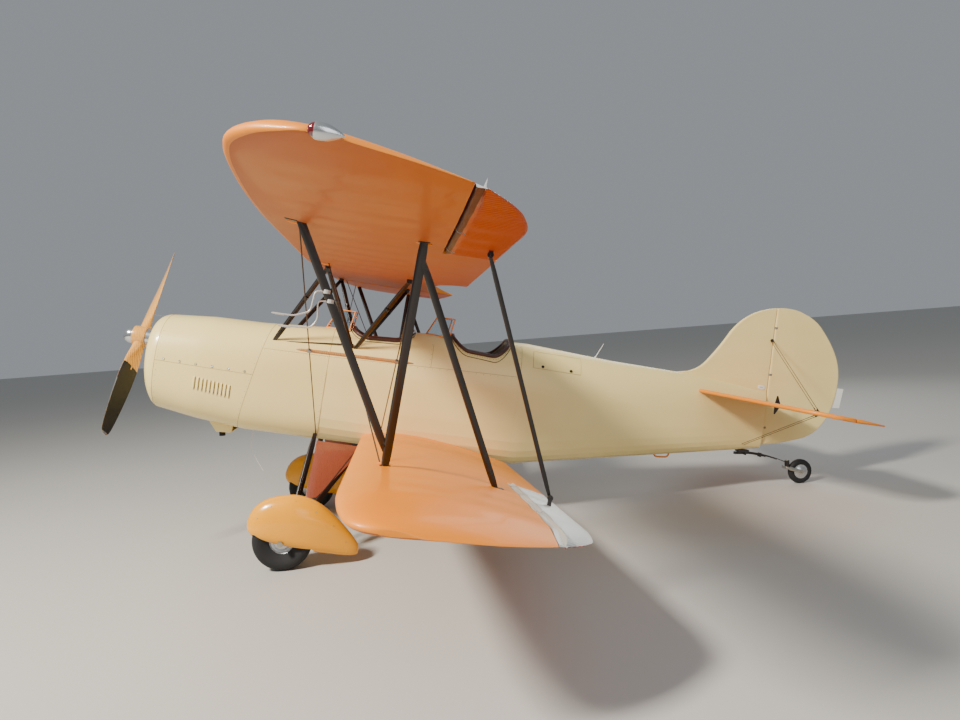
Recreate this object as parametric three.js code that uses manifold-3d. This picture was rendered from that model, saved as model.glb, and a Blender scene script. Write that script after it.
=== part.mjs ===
// Two-seat open-cockpit biplane with a tail wheel, parked on its gear. Millimetres, +Z up.
// Every piece is drawn in the aircraft's own level frame: origin at the propeller hub, +X aft along
// the thrust line, +Y to starboard, +Z up. One group then tips the whole aircraft to its parked
// attitude and moves its origin to the ground under the middle of its outer box.
import * as THREE from "three";
import { mergeVertices } from "three/addons/utils/BufferGeometryUtils.js";
import Module from "manifold-3d";

const wasm = await Module();
wasm.setup();

// Driving dimensions
const ATTITUDE = 13.6; // degrees, nose up, as it parks on three wheels
const HUB_HEIGHT = 1840; // propeller hub above the ground
const BOX_CENTRE_X = 3089.01; // middle of the parked outline, aft of the hub along the ground
const TOUCH = 0.3; // gap where two pieces meet
const CLEAR = 5; // running clearance of moving pieces

const WHEEL_TRACK = 1860;
const WHEEL_X = 1540;
const WHEEL_Z = -1291.6;
const WHEEL_RADIUS = 222.5;
const TYRE_WIDTH = 150;
const AXLE = 40;
const TAIL_WHEEL_X = 6107;
const TAIL_WHEEL_Z = -297.3;
const TAIL_WHEEL_RADIUS = 115;

const PROP_RADIUS = 925;
const BLADE_PLANE_X = 12.9;
const BOSS = { front: -52, rear: 60, radius: 88 };
const PROP_REST_ANGLE = 34; // degrees from the vertical, upper blade to starboard

const WING_INCIDENCE = 1.5; // degrees
// aileron, straight: half spans where the aileron begins and its bracket row ends; hinge: chord fraction
const UPPER = { x: 1325, z: 870, root: 720, chord: 1300, dihedral: 1.6, aileron: 2400, straight: 3300, tip: 4196, hinge: 0.795 };
const LOWER = { x: 1980, z: -537, root: 330, chord: 1240, dihedral: 3.1, aileron: 1950, straight: 3100, tip: 3704, hinge: 0.823 };
// Outline of each wing tip: half span, then the leading and the trailing edge as chord fractions
UPPER.plan = [
  [2500, 0, 1], [3000, 0.018, 1], [3376, 0.042, 0.995], [3661, 0.068, 0.944], [3801, 0.088, 0.894], [3909, 0.11, 0.838],
  [3994, 0.141, 0.783], [4050, 0.173, 0.71], [4103, 0.21, 0.616], [4164, 0.283, 0.47], [UPPER.tip, 0.345, 0.375],
];
LOWER.plan = [
  [3000, 0, 1], [3162, 0.004, 0.98], [3278, 0.012, 0.947], [3408, 0.024, 0.847], [3513, 0.04, 0.714],
  [3614, 0.063, 0.557], [3672, 0.1, 0.413], [LOWER.tip, 0.175, 0.29],
];
const AILERON_NOSE = 36; // radius
const AILERON_NOSE_Z = 15; // the hinge line above the chord line

const BOWL_SEAM_X = 265;
const FIREWALL_RAKE = 10.5; // degrees, top leans aft
const FIREWALL_X = 1068; // where the seam crosses the thrust line
const PANEL_SEAM_X = 1620;
const STERN_X = 5700;
const COWL_SPLIT_Z = -140;
const COWL_WALL = 8;
const HULL_WALL = 22;
const FLOOR_Z = -540;

const FRONT_COCKPIT = { from: 1780, to: 2270, half: 275 };
const REAR_COCKPIT = { from: 2640, to: 3110, half: 275 };
const TAIL_CONE_X = 3240;
const HATCH = { from: 3340, to: 3785, top: 418, bottom: 275, thick: 14, hingeProud: 4, slopeOver: 30 };

const RUDDER_TILT = 2.7; // degrees, the hinge line leans forward at the top
const RUDDER_HINGE_X = 5672; // at the thrust line
const RUDDER_TOP = 1186;
const RUDDER_FOOT = -108;
const TAIL_THICK = 34;
const TAILPLANE = { x: 5300, z: 300, incidence: 1.5, halfSpan: 1420, hinge: 340, trailing: 742 };

const rad = THREE.MathUtils.degToRad;
const deg = (radians) => (radians * 180) / Math.PI;
const vec = (x, y, z) => new THREE.Vector3(x, y, z);

// Materials
const finish = (color, roughness, metalness = 0) => new THREE.MeshStandardMaterial({ color, roughness, metalness });
const cream = finish(0xeedda6, 0.4);
const orange = finish(0xee8a1c, 0.45);
const yellow = finish(0xf7a60a, 0.3);
const darkPaint = finish(0x241a16, 0.45);
const black = finish(0x151515, 0.6);
const steel = finish(0xa9a9a6, 0.35, 0.9);
const aluminium = finish(0xc9cac8, 0.3, 0.9);
const mahogany = finish(0x6b2d16, 0.35);
const propWood = finish(0x8a5228, 0.3);
const maroon = finish(0x3b1a14, 0.6);
const padding = finish(0x6d4a2c, 0.7);
const tyreRubber = finish(0x1a1a1a, 0.85);
const clear = finish(0xdfeaf0, 0.05);

// Solids: a closed geometry becomes a solid that can be joined and cut, and a solid becomes a geometry again
function toSolid(geometry) {
  const bare = geometry.index ? geometry.toNonIndexed() : geometry.clone();
  bare.deleteAttribute("normal");
  bare.deleteAttribute("uv");
  const merged = mergeVertices(bare, 1e-3);
  const points = merged.getAttribute("position");
  const index = merged.index.array;
  const faces = [];
  for (let i = 0; i < index.length; i += 3) {
    const face = [index[i], index[i + 1], index[i + 2]];
    if (new Set(face).size === 3) faces.push(face);
  }
  const corners = [vec(), vec(), vec()];
  const volume = faces.reduce((sum, face) => {
    corners.forEach((corner, k) => corner.fromBufferAttribute(points, face[k]));
    return sum + corners[0].dot(corners[1].clone().cross(corners[2]));
  }, 0);
  if (volume < 0) faces.forEach((face) => face.reverse());
  return new wasm.Manifold(new wasm.Mesh({
    numProp: 3,
    vertProperties: Float32Array.from(points.array),
    triVerts: Uint32Array.from(faces.flat()),
  }));
}

function toGeometry(solid) {
  const mesh = solid.getMesh();
  const geometry = new THREE.BufferGeometry();
  geometry.setAttribute("position", new THREE.BufferAttribute(Float32Array.from(mesh.vertProperties), 3));
  geometry.setIndex(Array.from(mesh.triVerts));
  return geometry;
}

const join = (first, ...rest) => rest.reduce((sum, item) => sum.add(item), first);
const cut = (first, ...rest) => rest.reduce((sum, item) => sum.subtract(item), first);
const moved = (solid, matrix) => toSolid(toGeometry(solid).applyMatrix4(matrix));
const shifted = (solid, x, y, z) => moved(solid, new THREE.Matrix4().makeTranslation(x, y, z));
const turnedX = (solid, angle) => moved(solid, new THREE.Matrix4().makeRotationX(angle));
// Starboard pieces are drawn first; side is 1 to starboard and -1 to port
const onSide = (solid, side) => (side > 0 ? solid : moved(solid, new THREE.Matrix4().makeScale(1, -1, 1)));
const SIDES = [["port", -1], ["starboard", 1]];

function box(x0, x1, y0, y1, z0, z1) {
  const geometry = new THREE.BoxGeometry(x1 - x0, y1 - y0, z1 - z0);
  geometry.translate((x0 + x1) / 2, (y0 + y1) / 2, (z0 + z1) / 2);
  return toSolid(geometry);
}

// A closed skin through rings of points that all hold the same number of points
function loft(rings) {
  const count = rings[0].length;
  const positions = rings.flat().flatMap((point) => point.toArray());
  const index = [];
  for (let i = 0; i < rings.length - 1; i++) {
    for (let k = 0; k < count; k++) {
      const a = i * count + k;
      const b = i * count + ((k + 1) % count);
      index.push(a, b, a + count, b, b + count, a + count);
    }
  }
  for (const end of [0, rings.length - 1]) {
    const middle = rings[end].reduce((sum, point) => sum.add(point), vec(0, 0, 0)).divideScalar(count);
    const centre = positions.length / 3;
    positions.push(...middle.toArray());
    for (let k = 0; k < count; k++) {
      const a = end * count + k;
      const b = end * count + ((k + 1) % count);
      index.push(...(end === 0 ? [centre, b, a] : [centre, a, b]));
    }
  }
  const geometry = new THREE.BufferGeometry();
  geometry.setAttribute("position", new THREE.Float32BufferAttribute(positions, 3));
  geometry.setIndex(index);
  return toSolid(geometry);
}

// A straight member of oval section between two points, its wide side held towards a given direction
function strut(from, to, wide, thin, towards = vec(1, 0, 0), sides = 10) {
  const axis = to.clone().sub(from).normalize();
  const across = towards.clone().addScaledVector(axis, -towards.dot(axis)).normalize();
  const normal = axis.clone().cross(across);
  const ring = (centre) => Array.from({ length: sides }, (_, k) => {
    const t = (2 * Math.PI * k) / sides;
    const point = centre.clone().addScaledVector(across, (wide / 2) * Math.cos(t));
    return point.addScaledVector(normal, (thin / 2) * Math.sin(t));
  });
  return loft([ring(from), ring(to)]);
}

function rod(from, to, diameter, sides = 8) {
  const axis = to.clone().sub(from).normalize();
  const towards = Math.abs(axis.x) < 0.9 ? vec(1, 0, 0) : vec(0, 1, 0);
  return strut(from, to, diameter, diameter, towards, sides);
}
const rodY = (x, z, y0, y1, diameter, sides = 12) => rod(vec(x, y0, z), vec(x, y1, z), diameter, sides);
const rodX = (y, z, x0, x1, diameter, sides = 16) => rod(vec(x0, y, z), vec(x1, y, z), diameter, sides);

function extruded(outline, depth, bevel) {
  return new THREE.ExtrudeGeometry(outline, {
    depth: depth - 2 * bevel,
    bevelEnabled: bevel > 0,
    bevelThickness: bevel,
    bevelSize: bevel,
    bevelOffset: -bevel,
    bevelSegments: 1,
    curveSegments: 6,
  }).translate(0, 0, bevel);
}
// An outline in x and y made a slab between two heights, or in x and z made a plate between two y values
const slab = (outline, z0, z1, bevel = 0) => toSolid(extruded(outline, z1 - z0, bevel).translate(0, 0, z0));
const plate = (outline, y0, y1, bevel = 0) =>
  toSolid(extruded(outline, y1 - y0, bevel).rotateX(Math.PI / 2).translate(0, y1, 0));
const outlineOf = (points) => new THREE.Shape(points.map(([x, y]) => new THREE.Vector2(x, y)));

// A turned piece about the Y axis: rows of radius and y
const turned = (rows, sides = 28) => toSolid(new THREE.LatheGeometry(rows.map(([r, y]) => new THREE.Vector2(r, y)), sides));

// Scene graph
const parked = new THREE.Group();
const aircraft = new THREE.Group();
aircraft.rotation.y = rad(ATTITUDE);
aircraft.position.set(-BOX_CENTRE_X, 0, HUB_HEIGHT);
parked.add(aircraft);

// A piece that moves is drawn about its own joint, and its mesh stands at that joint
function add(name, solid, material, parent = aircraft, position = vec(0, 0, 0), rotation = [0, 0, 0]) {
  const mesh = new THREE.Mesh(toGeometry(solid), material);
  mesh.geometry.computeVertexNormals();
  mesh.name = name;
  mesh.position.copy(position);
  mesh.rotation.set(...rotation);
  parent.add(mesh);
  return mesh;
}

// Hinge with its axis on local Y and the moving piece towards +X: the fixed bracket, and the notch with its pin
const PIN = 10;
const BRACKET_RADIUS = 13;
const bracket = (y, reach, z = 0) => {
  const body = join(
    box(-reach, 0, y - 5, y + 5, z - 9, z + 9),
    rodY(0, z, y - 5, y + 5, 2 * BRACKET_RADIUS, 10),
  );
  return cut(body, rodY(0, z, y - 6, y + 6, PIN + 2 * TOUCH));
};
const notchWithPin = (solid, y, reach, z = 0) => join(
  cut(solid, box(-reach, BRACKET_RADIUS + CLEAR, y - 10, y + 10, z - 80, z + 80)),
  rodY(0, z, y - 13, y + 13, PIN),
);

// Fuselage skin, one row per frame from the nose seam to the sternpost
// x, half width, top, shoulder (widest height), bottom, roundness of the top, roundness of the bottom
const FRAMES = [
  [205, 400, 226, -130, -550, 2.3, 2.6],
  [600, 424, 268, -140, -604, 2.4, 3.0],
  [1000, 420, 284, -130, -634, 2.6, 3.4],
  [1620, 396, 342, -110, -622, 2.8, 4.2],
  [2300, 384, 412, -90, -615, 2.8, 4.6],
  [3300, 332, 474, -40, -600, 2.5, 4.6],
  [4100, 242, 446, 20, -446, 2.3, 4.2],
  [4900, 148, 446, 70, -290, 2.1, 3.6],
  [STERN_X, 36, 396, 120, -130, 2.0, 3.0],
];
const HULL_POINTS = 28;
const HULL_STATIONS = [...FRAMES.map((row) => row[0]), TAIL_CONE_X].sort((a, b) => a - b);

function frameAt(x) {
  let i = 0;
  while (i < FRAMES.length - 2 && x > FRAMES[i + 1][0]) i += 1;
  const t = (x - FRAMES[i][0]) / (FRAMES[i + 1][0] - FRAMES[i][0]);
  return FRAMES[i].map((value, k) => value + t * (FRAMES[i + 1][k] - value));
}

function hullRing(x, inset = 0) {
  const [, half, top, shoulder, bottom, topPower, bottomPower] = frameAt(x);
  return Array.from({ length: HULL_POINTS }, (_, k) => {
    const t = (2 * Math.PI * (k + 0.5)) / HULL_POINTS;
    const [c, s] = [Math.cos(t), Math.sin(t)];
    const power = 2 / (s > 0 ? topPower : bottomPower);
    const reach = s > 0 ? top - shoulder : shoulder - bottom;
    const y = (half - inset) * Math.sign(c) * Math.abs(c) ** power;
    const z = shoulder + (reach - inset) * Math.sign(s) * Math.abs(s) ** power;
    return vec(x, y, z);
  });
}

// Half width of the skin at a height above the shoulder
function skinHalfWidth(x, z) {
  const [, half, top, shoulder, , power] = frameAt(x);
  return half * (1 - ((z - shoulder) / (top - shoulder)) ** power) ** (1 / power);
}

function hull(from, to, inset = 0) {
  const between = HULL_STATIONS.filter((x) => x > from + 1 && x < to - 1);
  return loft([from, ...between, to].map((x) => hullRing(x, inset)));
}
const hullAndTouch = hull(205, STERN_X, -TOUCH);

// Everything ahead of the raked seam between the cowling and the fuselage
const aheadOfFirewall = (shift) => toSolid(
  new THREE.BoxGeometry(4000, 3000, 3000).translate(-2000, 0, 0).rotateY(rad(FIREWALL_RAKE)).translate(FIREWALL_X + shift, 0, 0),
);

// Propeller of laminated wood with two blades, and its small polished dome
{
  // radius, chord, thickness, pitch angle in degrees
  const BLADE = [
    [30, 92, 92, 60],
    [110, 102, 74, 46],
    [240, 138, 46, 39],
    [450, 166, 27, 31],
    [700, 152, 16, 24],
    [880, 114, 9, 19.5],
    [PROP_RADIUS, 46, 5, 16],
  ];
  const bladeRing = ([radius, chord, thick, pitch]) => Array.from({ length: 12 }, (_, k) => {
    const t = (2 * Math.PI * k) / 12;
    const [across, deep] = [(chord / 2) * Math.cos(t), (thick / 2) * Math.sin(t)];
    const a = rad(pitch);
    return vec(deep * Math.cos(a) - across * Math.sin(a), across * Math.cos(a) + deep * Math.sin(a), radius);
  });
  const blade = shifted(loft(BLADE.map(bladeRing)), BLADE_PLANE_X, 0, 0);
  const boss = rodX(0, 0, BOSS.front, BOSS.rear, 2 * BOSS.radius, 24);
  add("propeller", join(boss, blade, turnedX(blade, Math.PI)), propWood, aircraft, vec(0, 0, 0), [-rad(PROP_REST_ANGLE), 0, 0]);
  const domeBase = TOUCH - BOSS.front;
  const dome = turned([[0, 134], [26, 129], [48, 114], [62, 94], [68, 70], [68, domeBase], [0, domeBase]], 24);
  add("spinner", dome, aluminium, aircraft, vec(0, 0, 0), [0, 0, Math.PI / 2]);
}

// Cowling: nose bowl, upper and lower shells, with the engine block inside on its mount
{
  // x and the scale of the nose section about a point near the shaft; the chin leans aft below that point
  const BOWL = [[150, 0.5], [154, 0.68], [166, 0.81], [188, 0.905], [222, 0.97], [BOWL_SEAM_X, 1]];
  const CHIN = { from: -90, drop: 460, lean: 70 };
  const bowlRing = (x, scale, inset) => hullRing(BOWL_SEAM_X, inset).map((p) => {
    const z = CHIN.from + (p.z - CHIN.from) * scale;
    const ahead = Math.max(0, (BOWL_SEAM_X - x) / (BOWL_SEAM_X - BOWL[0][0]));
    const lean = CHIN.lean * (Math.max(0, CHIN.from - z) / CHIN.drop) ** 2;
    return vec(x + lean * ahead, p.y * scale, z);
  });
  const outer = loft(BOWL.map(([x, scale]) => bowlRing(x, scale, 0)));
  const inner = loft(BOWL.map(([x, scale]) => bowlRing(x === BOWL_SEAM_X ? x + 1 : x + COWL_WALL, scale, COWL_WALL)));
  const inlet = (y) => toSolid(new THREE.SphereGeometry(1, 14, 8).scale(70, 105, 58).translate(165, y, -60));
  add("nose_bowl", cut(outer, inner, rodX(0, 0, 120, 205, 190, 24), inlet(-215), inlet(215)), cream);

  const shell = cut(hull(BOWL_SEAM_X + TOUCH, 1200), hull(BOWL_SEAM_X - 1, 1201, COWL_WALL)).intersect(aheadOfFirewall(-TOUCH));
  add("cowl_upper", shell.intersect(box(0, 1400, -700, 700, COWL_SPLIT_Z + TOUCH, 700)), cream);
  // Outlet lip under the cowling, where the cooling air and the exhaust pipe leave
  const lip = plate(outlineOf([[690, -598], [900, -608], [893, -682], [765, -690]]), -150, 150, 6);
  const duct = plate(outlineOf([[735, -540], [908, -540], [908, -668], [785, -674]]), -138, 138);
  const pipeHole = rod(vec(780, -60, -590), vec(810, -60, -742), 66, 12);
  add("cowl_lower", cut(join(shell.intersect(box(0, 1400, -700, 700, -900, COWL_SPLIT_Z)), lip), duct, pipeHole), cream);

  const block = box(250, 860, -330, 330, -330, 60);
  const crankcase = box(185, 251, -110, 110, -130, 110);
  const flange = join(rodX(0, 0, BOSS.rear + TOUCH, 110, 164, 24), rodX(0, 0, 100, 195, 90));
  const mounts = [[-200, -220], [200, -220], [-200, 0], [200, 0]].map(([y, z]) => rodX(y, z, 850, 1200, 32, 8));
  const pipe = join(
    rod(vec(740, -60, -320), vec(780, -60, -600), 52, 12),
    rod(vec(780, -60, -590), vec(807, -60, -730), 52, 12),
  );
  add("engine", join(block, crankcase, flange, pipe, ...mounts).intersect(aheadOfFirewall(-TOUCH)), black);
}

// Closed bay behind the firewall, then the main fuselage with its two cockpits and the baggage bay
function mouthShape({ from, to, half }, grow = 0) {
  const corner = 150;
  const [x0, x1, y] = [from - grow, to + grow, half + grow];
  const shape = new THREE.Shape();
  shape.moveTo(x0 + corner, -y);
  shape.lineTo(x1 - corner, -y);
  shape.absarc(x1 - corner, -y + corner, corner, -Math.PI / 2, 0);
  shape.lineTo(x1, y - corner);
  shape.absarc(x1 - corner, y - corner, corner, 0, Math.PI / 2);
  shape.lineTo(x0 + corner, y);
  shape.absarc(x0 + corner, y - corner, corner, Math.PI / 2, Math.PI);
  shape.lineTo(x0, -y + corner);
  shape.absarc(x0 + corner, -y + corner, corner, Math.PI, 1.5 * Math.PI);
  return shape;
}
const hingeLineX = (z) => RUDDER_HINGE_X - z * Math.tan(rad(RUDDER_TILT));
const TAIL_NOSE = TAIL_THICK / 2;
// Everything aft of the sternpost and the fin's rear spar
const aftOfPost = toSolid(
  new THREE.BoxGeometry(2000, 2000, 5000).translate(1000 - TAIL_NOSE - CLEAR, 0, 0).rotateY(-rad(RUDDER_TILT))
    .translate(RUDDER_HINGE_X, 0, 0),
);
// The rudder's hinge frame: local Y runs up the hinge line and local X points aft
const rudderTurn = [Math.PI / 2, 0, 0];
const rudderFrame = new THREE.Group();
rudderFrame.position.set(RUDDER_HINGE_X, 0, 0);
rudderFrame.rotation.y = -rad(RUDDER_TILT);
aircraft.add(rudderFrame);
rudderFrame.updateMatrix();
const rudderMatrix = rudderFrame.matrix.clone().multiply(new THREE.Matrix4().makeRotationX(Math.PI / 2));
const rudderBracket = (height) => moved(bracket(height, TAIL_NOSE + CLEAR + 8), rudderMatrix);

function stabiliserShape(grow = 0) {
  const [lead, rear, tip] = [-385 - grow, TAILPLANE.hinge - TAIL_NOSE - CLEAR + grow, TAILPLANE.halfSpan + grow];
  const shape = new THREE.Shape();
  shape.moveTo(lead, 0);
  shape.lineTo(lead + 30, 200);
  shape.lineTo(lead + 330, tip - 260);
  shape.quadraticCurveTo(lead + 420, tip, lead + 620, tip);
  shape.lineTo(rear, tip - 10);
  shape.lineTo(rear, -tip + 10);
  shape.lineTo(lead + 620, -tip);
  shape.quadraticCurveTo(lead + 420, -tip, lead + 330, -tip + 260);
  shape.lineTo(lead + 30, -200);
  return shape;
}
const tailplane = new THREE.Group();
tailplane.position.set(TAILPLANE.x, 0, TAILPLANE.z);
tailplane.rotation.y = rad(TAILPLANE.incidence);
aircraft.add(tailplane);
tailplane.updateMatrix();
{
  add("tank_bay", cut(hull(600, PANEL_SEAM_X - TOUCH), aheadOfFirewall(0)), cream);

  const skin = hull(PANEL_SEAM_X, TAIL_CONE_X - TOUCH);
  const room = hull(PANEL_SEAM_X + HULL_WALL, REAR_COCKPIT.to + 60, HULL_WALL)
    .intersect(box(1600, 3300, -600, 600, FLOOR_Z, 700));
  const mouths = [FRONT_COCKPIT, REAR_COCKPIT].map((row) => slab(mouthShape(row), 0, 700));
  // Instrument bulkheads across the front of each cockpit, above the knees
  const bulkheads = [FRONT_COCKPIT.from - 40, REAR_COCKPIT.from - 40].map((x) =>
    hull(x, x + 20, HULL_WALL - 4).intersect(box(x, x + 20, -600, 600, 20, 700)),
  );
  const pocket = cut(box(HATCH.from, HATCH.to, -600, 0, HATCH.bottom, HATCH.top), hull(3300, 4100, HATCH.thick + 4));
  const bayBox = box(HATCH.from + 25, HATCH.to - 25, -600, 120, HATCH.bottom - 240, HATCH.top + 200);
  const bay = hull(3300, 4100, HULL_WALL).intersect(bayBox);
  const bayMouth = box(HATCH.from + 25, HATCH.to - 25, -600, -60, HATCH.bottom + 20, HATCH.top - 20);
  const slot = moved(slab(stabiliserShape(TOUCH), -TAIL_NOSE - TOUCH, TAIL_NOSE + TOUCH), tailplane.matrix);
  add("fuselage", cut(join(cut(skin, room), ...bulkheads), ...mouths), cream);

  const cone = cut(hull(TAIL_CONE_X, STERN_X), aftOfPost, pocket, bay, bayMouth, slot);
  const handle = join(
    rod(vec(4640, 0, -315), vec(4665, 0, -362), 16),
    rod(vec(4665, 0, -360), vec(4785, 0, -350), 16),
    rod(vec(4785, 0, -352), vec(4800, 0, -290), 16),
  );
  add("tail_cone", join(cone, handle, rudderBracket(60)), cream);

  // The hinge runs along the upper edge, just outside the skin, and the door's edge there is square to the
  // sloping skin, so that it turns clear inside the pocket
  const hinge = vec(HATCH.from, -skinHalfWidth(HATCH.from, HATCH.top) - HATCH.hingeProud, HATCH.top - TOUCH);
  const taper = skinHalfWidth(HATCH.from, HATCH.top) - skinHalfWidth(HATCH.to, HATCH.top);
  const spread = skinHalfWidth(HATCH.from, HATCH.top - HATCH.slopeOver) - skinHalfWidth(HATCH.from, HATCH.top);
  const belowEdge = box(-200, 800, -400, 400, -400, 0)
    .rotate([-deg(Math.atan2(spread, HATCH.slopeOver)), 0, 0])
    .rotate([0, 0, deg(Math.atan2(taper, HATCH.to - HATCH.from))])
    .translate([hinge.x, hinge.y, hinge.z]);
  const door = cut(hull(3300, 4100), hull(3299, 4101, HATCH.thick))
    .intersect(box(HATCH.from + CLEAR, HATCH.to - CLEAR, -600, 0, HATCH.bottom + CLEAR, HATCH.top - TOUCH))
    .intersect(belowEdge);
  add("baggage_hatch", shifted(door, -hinge.x, -hinge.y, -hinge.z), cream, aircraft, hinge);
}

// Padded coamings round the two cockpit mouths
for (const [name, mouth] of [["front_coaming", FRONT_COCKPIT], ["rear_coaming", REAR_COCKPIT]]) {
  const ring = cut(slab(mouthShape(mouth, 22), 0, 700), slab(mouthShape(mouth), -1, 701));
  add(name, cut(ring.intersect(hull(205, STERN_X, -24)), hullAndTouch), maroon);
}

// Windshields: a narrow front pane and two side panes that widen aft, leaning back
const WINDSHIELDS = [
  { name: "front_windshield", nose: 1490, tail: 1722, half: 215, rise: 150 },
  { name: "rear_windshield", nose: 2350, tail: 2575, half: 215, rise: 150 },
];
for (const { name, nose, tail, half, rise } of WINDSHIELDS) {
  const top = frameAt(tail)[2] + rise;
  // x at the foot, half width at the foot, how far that corner leans aft, how far it leans in
  const CORNERS = [[nose, 70, 120, 20], [tail, half, 40, 35]];
  const ring = (z, grow) => {
    const t = (z - (top - 260)) / 260;
    const [front, rear] = CORNERS.map(([x, y, aft, inward]) => [x + aft * t, y - inward * t + grow]);
    return [[front[0] - grow, -front[1]], [front[0] - grow, front[1]], rear, [rear[0], -rear[1]]].map(([x, y]) => vec(x, y, z));
  };
  const wedge = (grow, low, high) => loft([ring(low, grow), ring(high, grow)]);
  const panes = cut(wedge(0, top - 260, top), wedge(-5, top - 261, top + 1), box(tail - 20, tail + 400, -160, 160, 0, 900));
  add(name, cut(panes, hullAndTouch), clear);
}

// Seats: a pan on its base with a raked back, in each cockpit
for (const [name, mouth] of [["front_seat", FRONT_COCKPIT], ["rear_seat", REAR_COCKPIT]]) {
  const back = mouth.to - 10;
  const profile = outlineOf([
    [back - 420, FLOOR_Z + TOUCH], [back - 80, FLOOR_Z + TOUCH], [back - 30, -250],
    [back + 20, 170], [back - 25, 170], [back - 85, -240], [back - 420, -210], [back - 440, -260],
  ]);
  add(name, plate(profile, -210, 210, 8), padding);
}

// Fin and rudder
{
  const shape = new THREE.Shape();
  shape.moveTo(5700, 200);
  shape.lineTo(4700, 200);
  shape.lineTo(4700, 440);
  shape.quadraticCurveTo(4890, 455, 4985, 570);
  shape.quadraticCurveTo(5110, 745, 5180, 890);
  shape.quadraticCurveTo(5320, 1130, 5600, RUDDER_TOP);
  shape.lineTo(5700, RUDDER_TOP);
  const fin = cut(plate(shape, -TAIL_NOSE, TAIL_NOSE, 12), hullAndTouch, aftOfPost);
  add("fin", join(fin, rudderBracket(560), rudderBracket(1000)), cream);

  const outline = new THREE.Shape();
  outline.moveTo(-TAIL_NOSE, RUDDER_FOOT);
  outline.lineTo(-TAIL_NOSE, RUDDER_TOP);
  outline.bezierCurveTo(150, 1225, 330, 1170, 440, 1070);
  outline.bezierCurveTo(610, 890, 690, 740, 690, 560);
  outline.bezierCurveTo(690, 300, 590, 40, 350, -20);
  outline.quadraticCurveTo(180, -80, -TAIL_NOSE, RUDDER_FOOT);
  const tab = plate(outlineOf([[640, 318], [735, 318], [755, 505], [640, 505]]), -2, 2);
  let rudder = slab(outline, -TAIL_NOSE, TAIL_NOSE, 12);
  rudder = join(rudder, turnedX(tab, -Math.PI / 2));
  for (const height of [60, 560, 1000]) rudder = notchWithPin(rudder, height, TAIL_THICK);
  add("rudder", rudder, cream, rudderFrame, vec(0, 0, 0), rudderTurn);
}

// Tailplane: one stabiliser through the fuselage and an elevator each side
const TAIL_WIRE = { x: 280, y: 950, bolt: 14 };
{
  const wireHole = (y) => rod(vec(TAIL_WIRE.x, y, -60), vec(TAIL_WIRE.x, y, 60), TAIL_WIRE.bolt + 2 * TOUCH, 12);
  const BRACKETS = [330, 1200];
  let stabiliser = cut(slab(stabiliserShape(), -TAIL_NOSE, TAIL_NOSE, 12), wireHole(-TAIL_WIRE.y), wireHole(TAIL_WIRE.y));
  for (const y of BRACKETS.flatMap((value) => [-value, value])) {
    stabiliser = join(stabiliser, shifted(bracket(y, TAIL_NOSE + CLEAR + 8), TAILPLANE.hinge, 0, 0));
  }
  add("stabiliser", stabiliser, orange, tailplane);

  const trailing = TAILPLANE.trailing - TAILPLANE.hinge;
  const tip = TAILPLANE.halfSpan;
  const shape = new THREE.Shape();
  shape.moveTo(-TAIL_NOSE, 62);
  shape.lineTo(30, 62);
  shape.lineTo(trailing - 40, 285);
  shape.quadraticCurveTo(trailing, 310, trailing, 360);
  shape.lineTo(trailing, tip - 420);
  shape.quadraticCurveTo(trailing - 20, tip - 60, 60, tip - 10);
  shape.lineTo(-TAIL_NOSE, tip - 10);
  let elevator = slab(shape, -TAIL_NOSE, TAIL_NOSE, 12);
  for (const y of BRACKETS) elevator = notchWithPin(elevator, y, TAIL_THICK);
  for (const [name, side] of SIDES) {
    add(`elevator_${name}`, onSide(elevator, side), orange, tailplane, vec(TAILPLANE.hinge, 0, 0));
  }
}

// Wings. Each panel is drawn from its own root: x aft from the leading edge, y outboard, z up
const AIRFOIL_STEPS = 10;
const ROOT_GAP = 3.4; // keeps the tilted root face clear of the flat centre section
function airfoil(s, upper) {
  const half = 0.6 * (0.2969 * Math.sqrt(s) - 0.126 * s - 0.3516 * s ** 2 + 0.2843 * s ** 3 - 0.1015 * s ** 4);
  const camber = s < 0.4 ? 0.125 * (0.8 * s - s ** 2) : 0.0556 * (0.2 + 0.8 * s - s ** 2);
  return camber + (upper ? half : -half);
}

// Leading and trailing edge at a half span, as chord fractions
function planAt({ plan }, halfSpan) {
  if (halfSpan <= plan[0][0]) return [0, 1];
  let i = 0;
  while (i < plan.length - 2 && halfSpan > plan[i + 1][0]) i += 1;
  const t = (halfSpan - plan[i][0]) / (plan[i + 1][0] - plan[i][0]);
  return [1, 2].map((k) => plan[i][k] + t * (plan[i + 1][k] - plan[i][k]));
}

function wingRing(wing, y) {
  const [lead, trail] = planAt(wing, y + wing.root);
  const length = trail - lead;
  const points = [];
  for (const upper of [true, false]) {
    for (let i = 0; i < AIRFOIL_STEPS; i++) {
      const angle = (Math.PI * i) / AIRFOIL_STEPS;
      const s = upper ? (1 + Math.cos(angle)) / 2 : (1 - Math.cos(angle)) / 2;
      points.push(vec(wing.chord * (lead + length * s), y, wing.chord * length * airfoil(s, upper)));
    }
  }
  return points;
}

function wingSolid(wing, from = ROOT_GAP) {
  const stations = [from, ...wing.plan.map(([halfSpan]) => halfSpan - wing.root)];
  return loft(stations.map((y) => wingRing(wing, y)));
}

function panelGroup(wing, side) {
  const group = new THREE.Group();
  group.position.set(wing.x, side * wing.root, wing.z);
  group.rotation.set(side * rad(wing.dihedral), rad(WING_INCIDENCE), 0);
  group.updateMatrix();
  return group;
}
// A point of a panel, by its chord fraction and its half-span place, in the aircraft's frame
const onPanel = (wing, side, fraction, y, z = 0) =>
  vec(wing.chord * fraction, side * (y - wing.root), z).applyMatrix4(panelGroup(wing, side).matrix);
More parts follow.
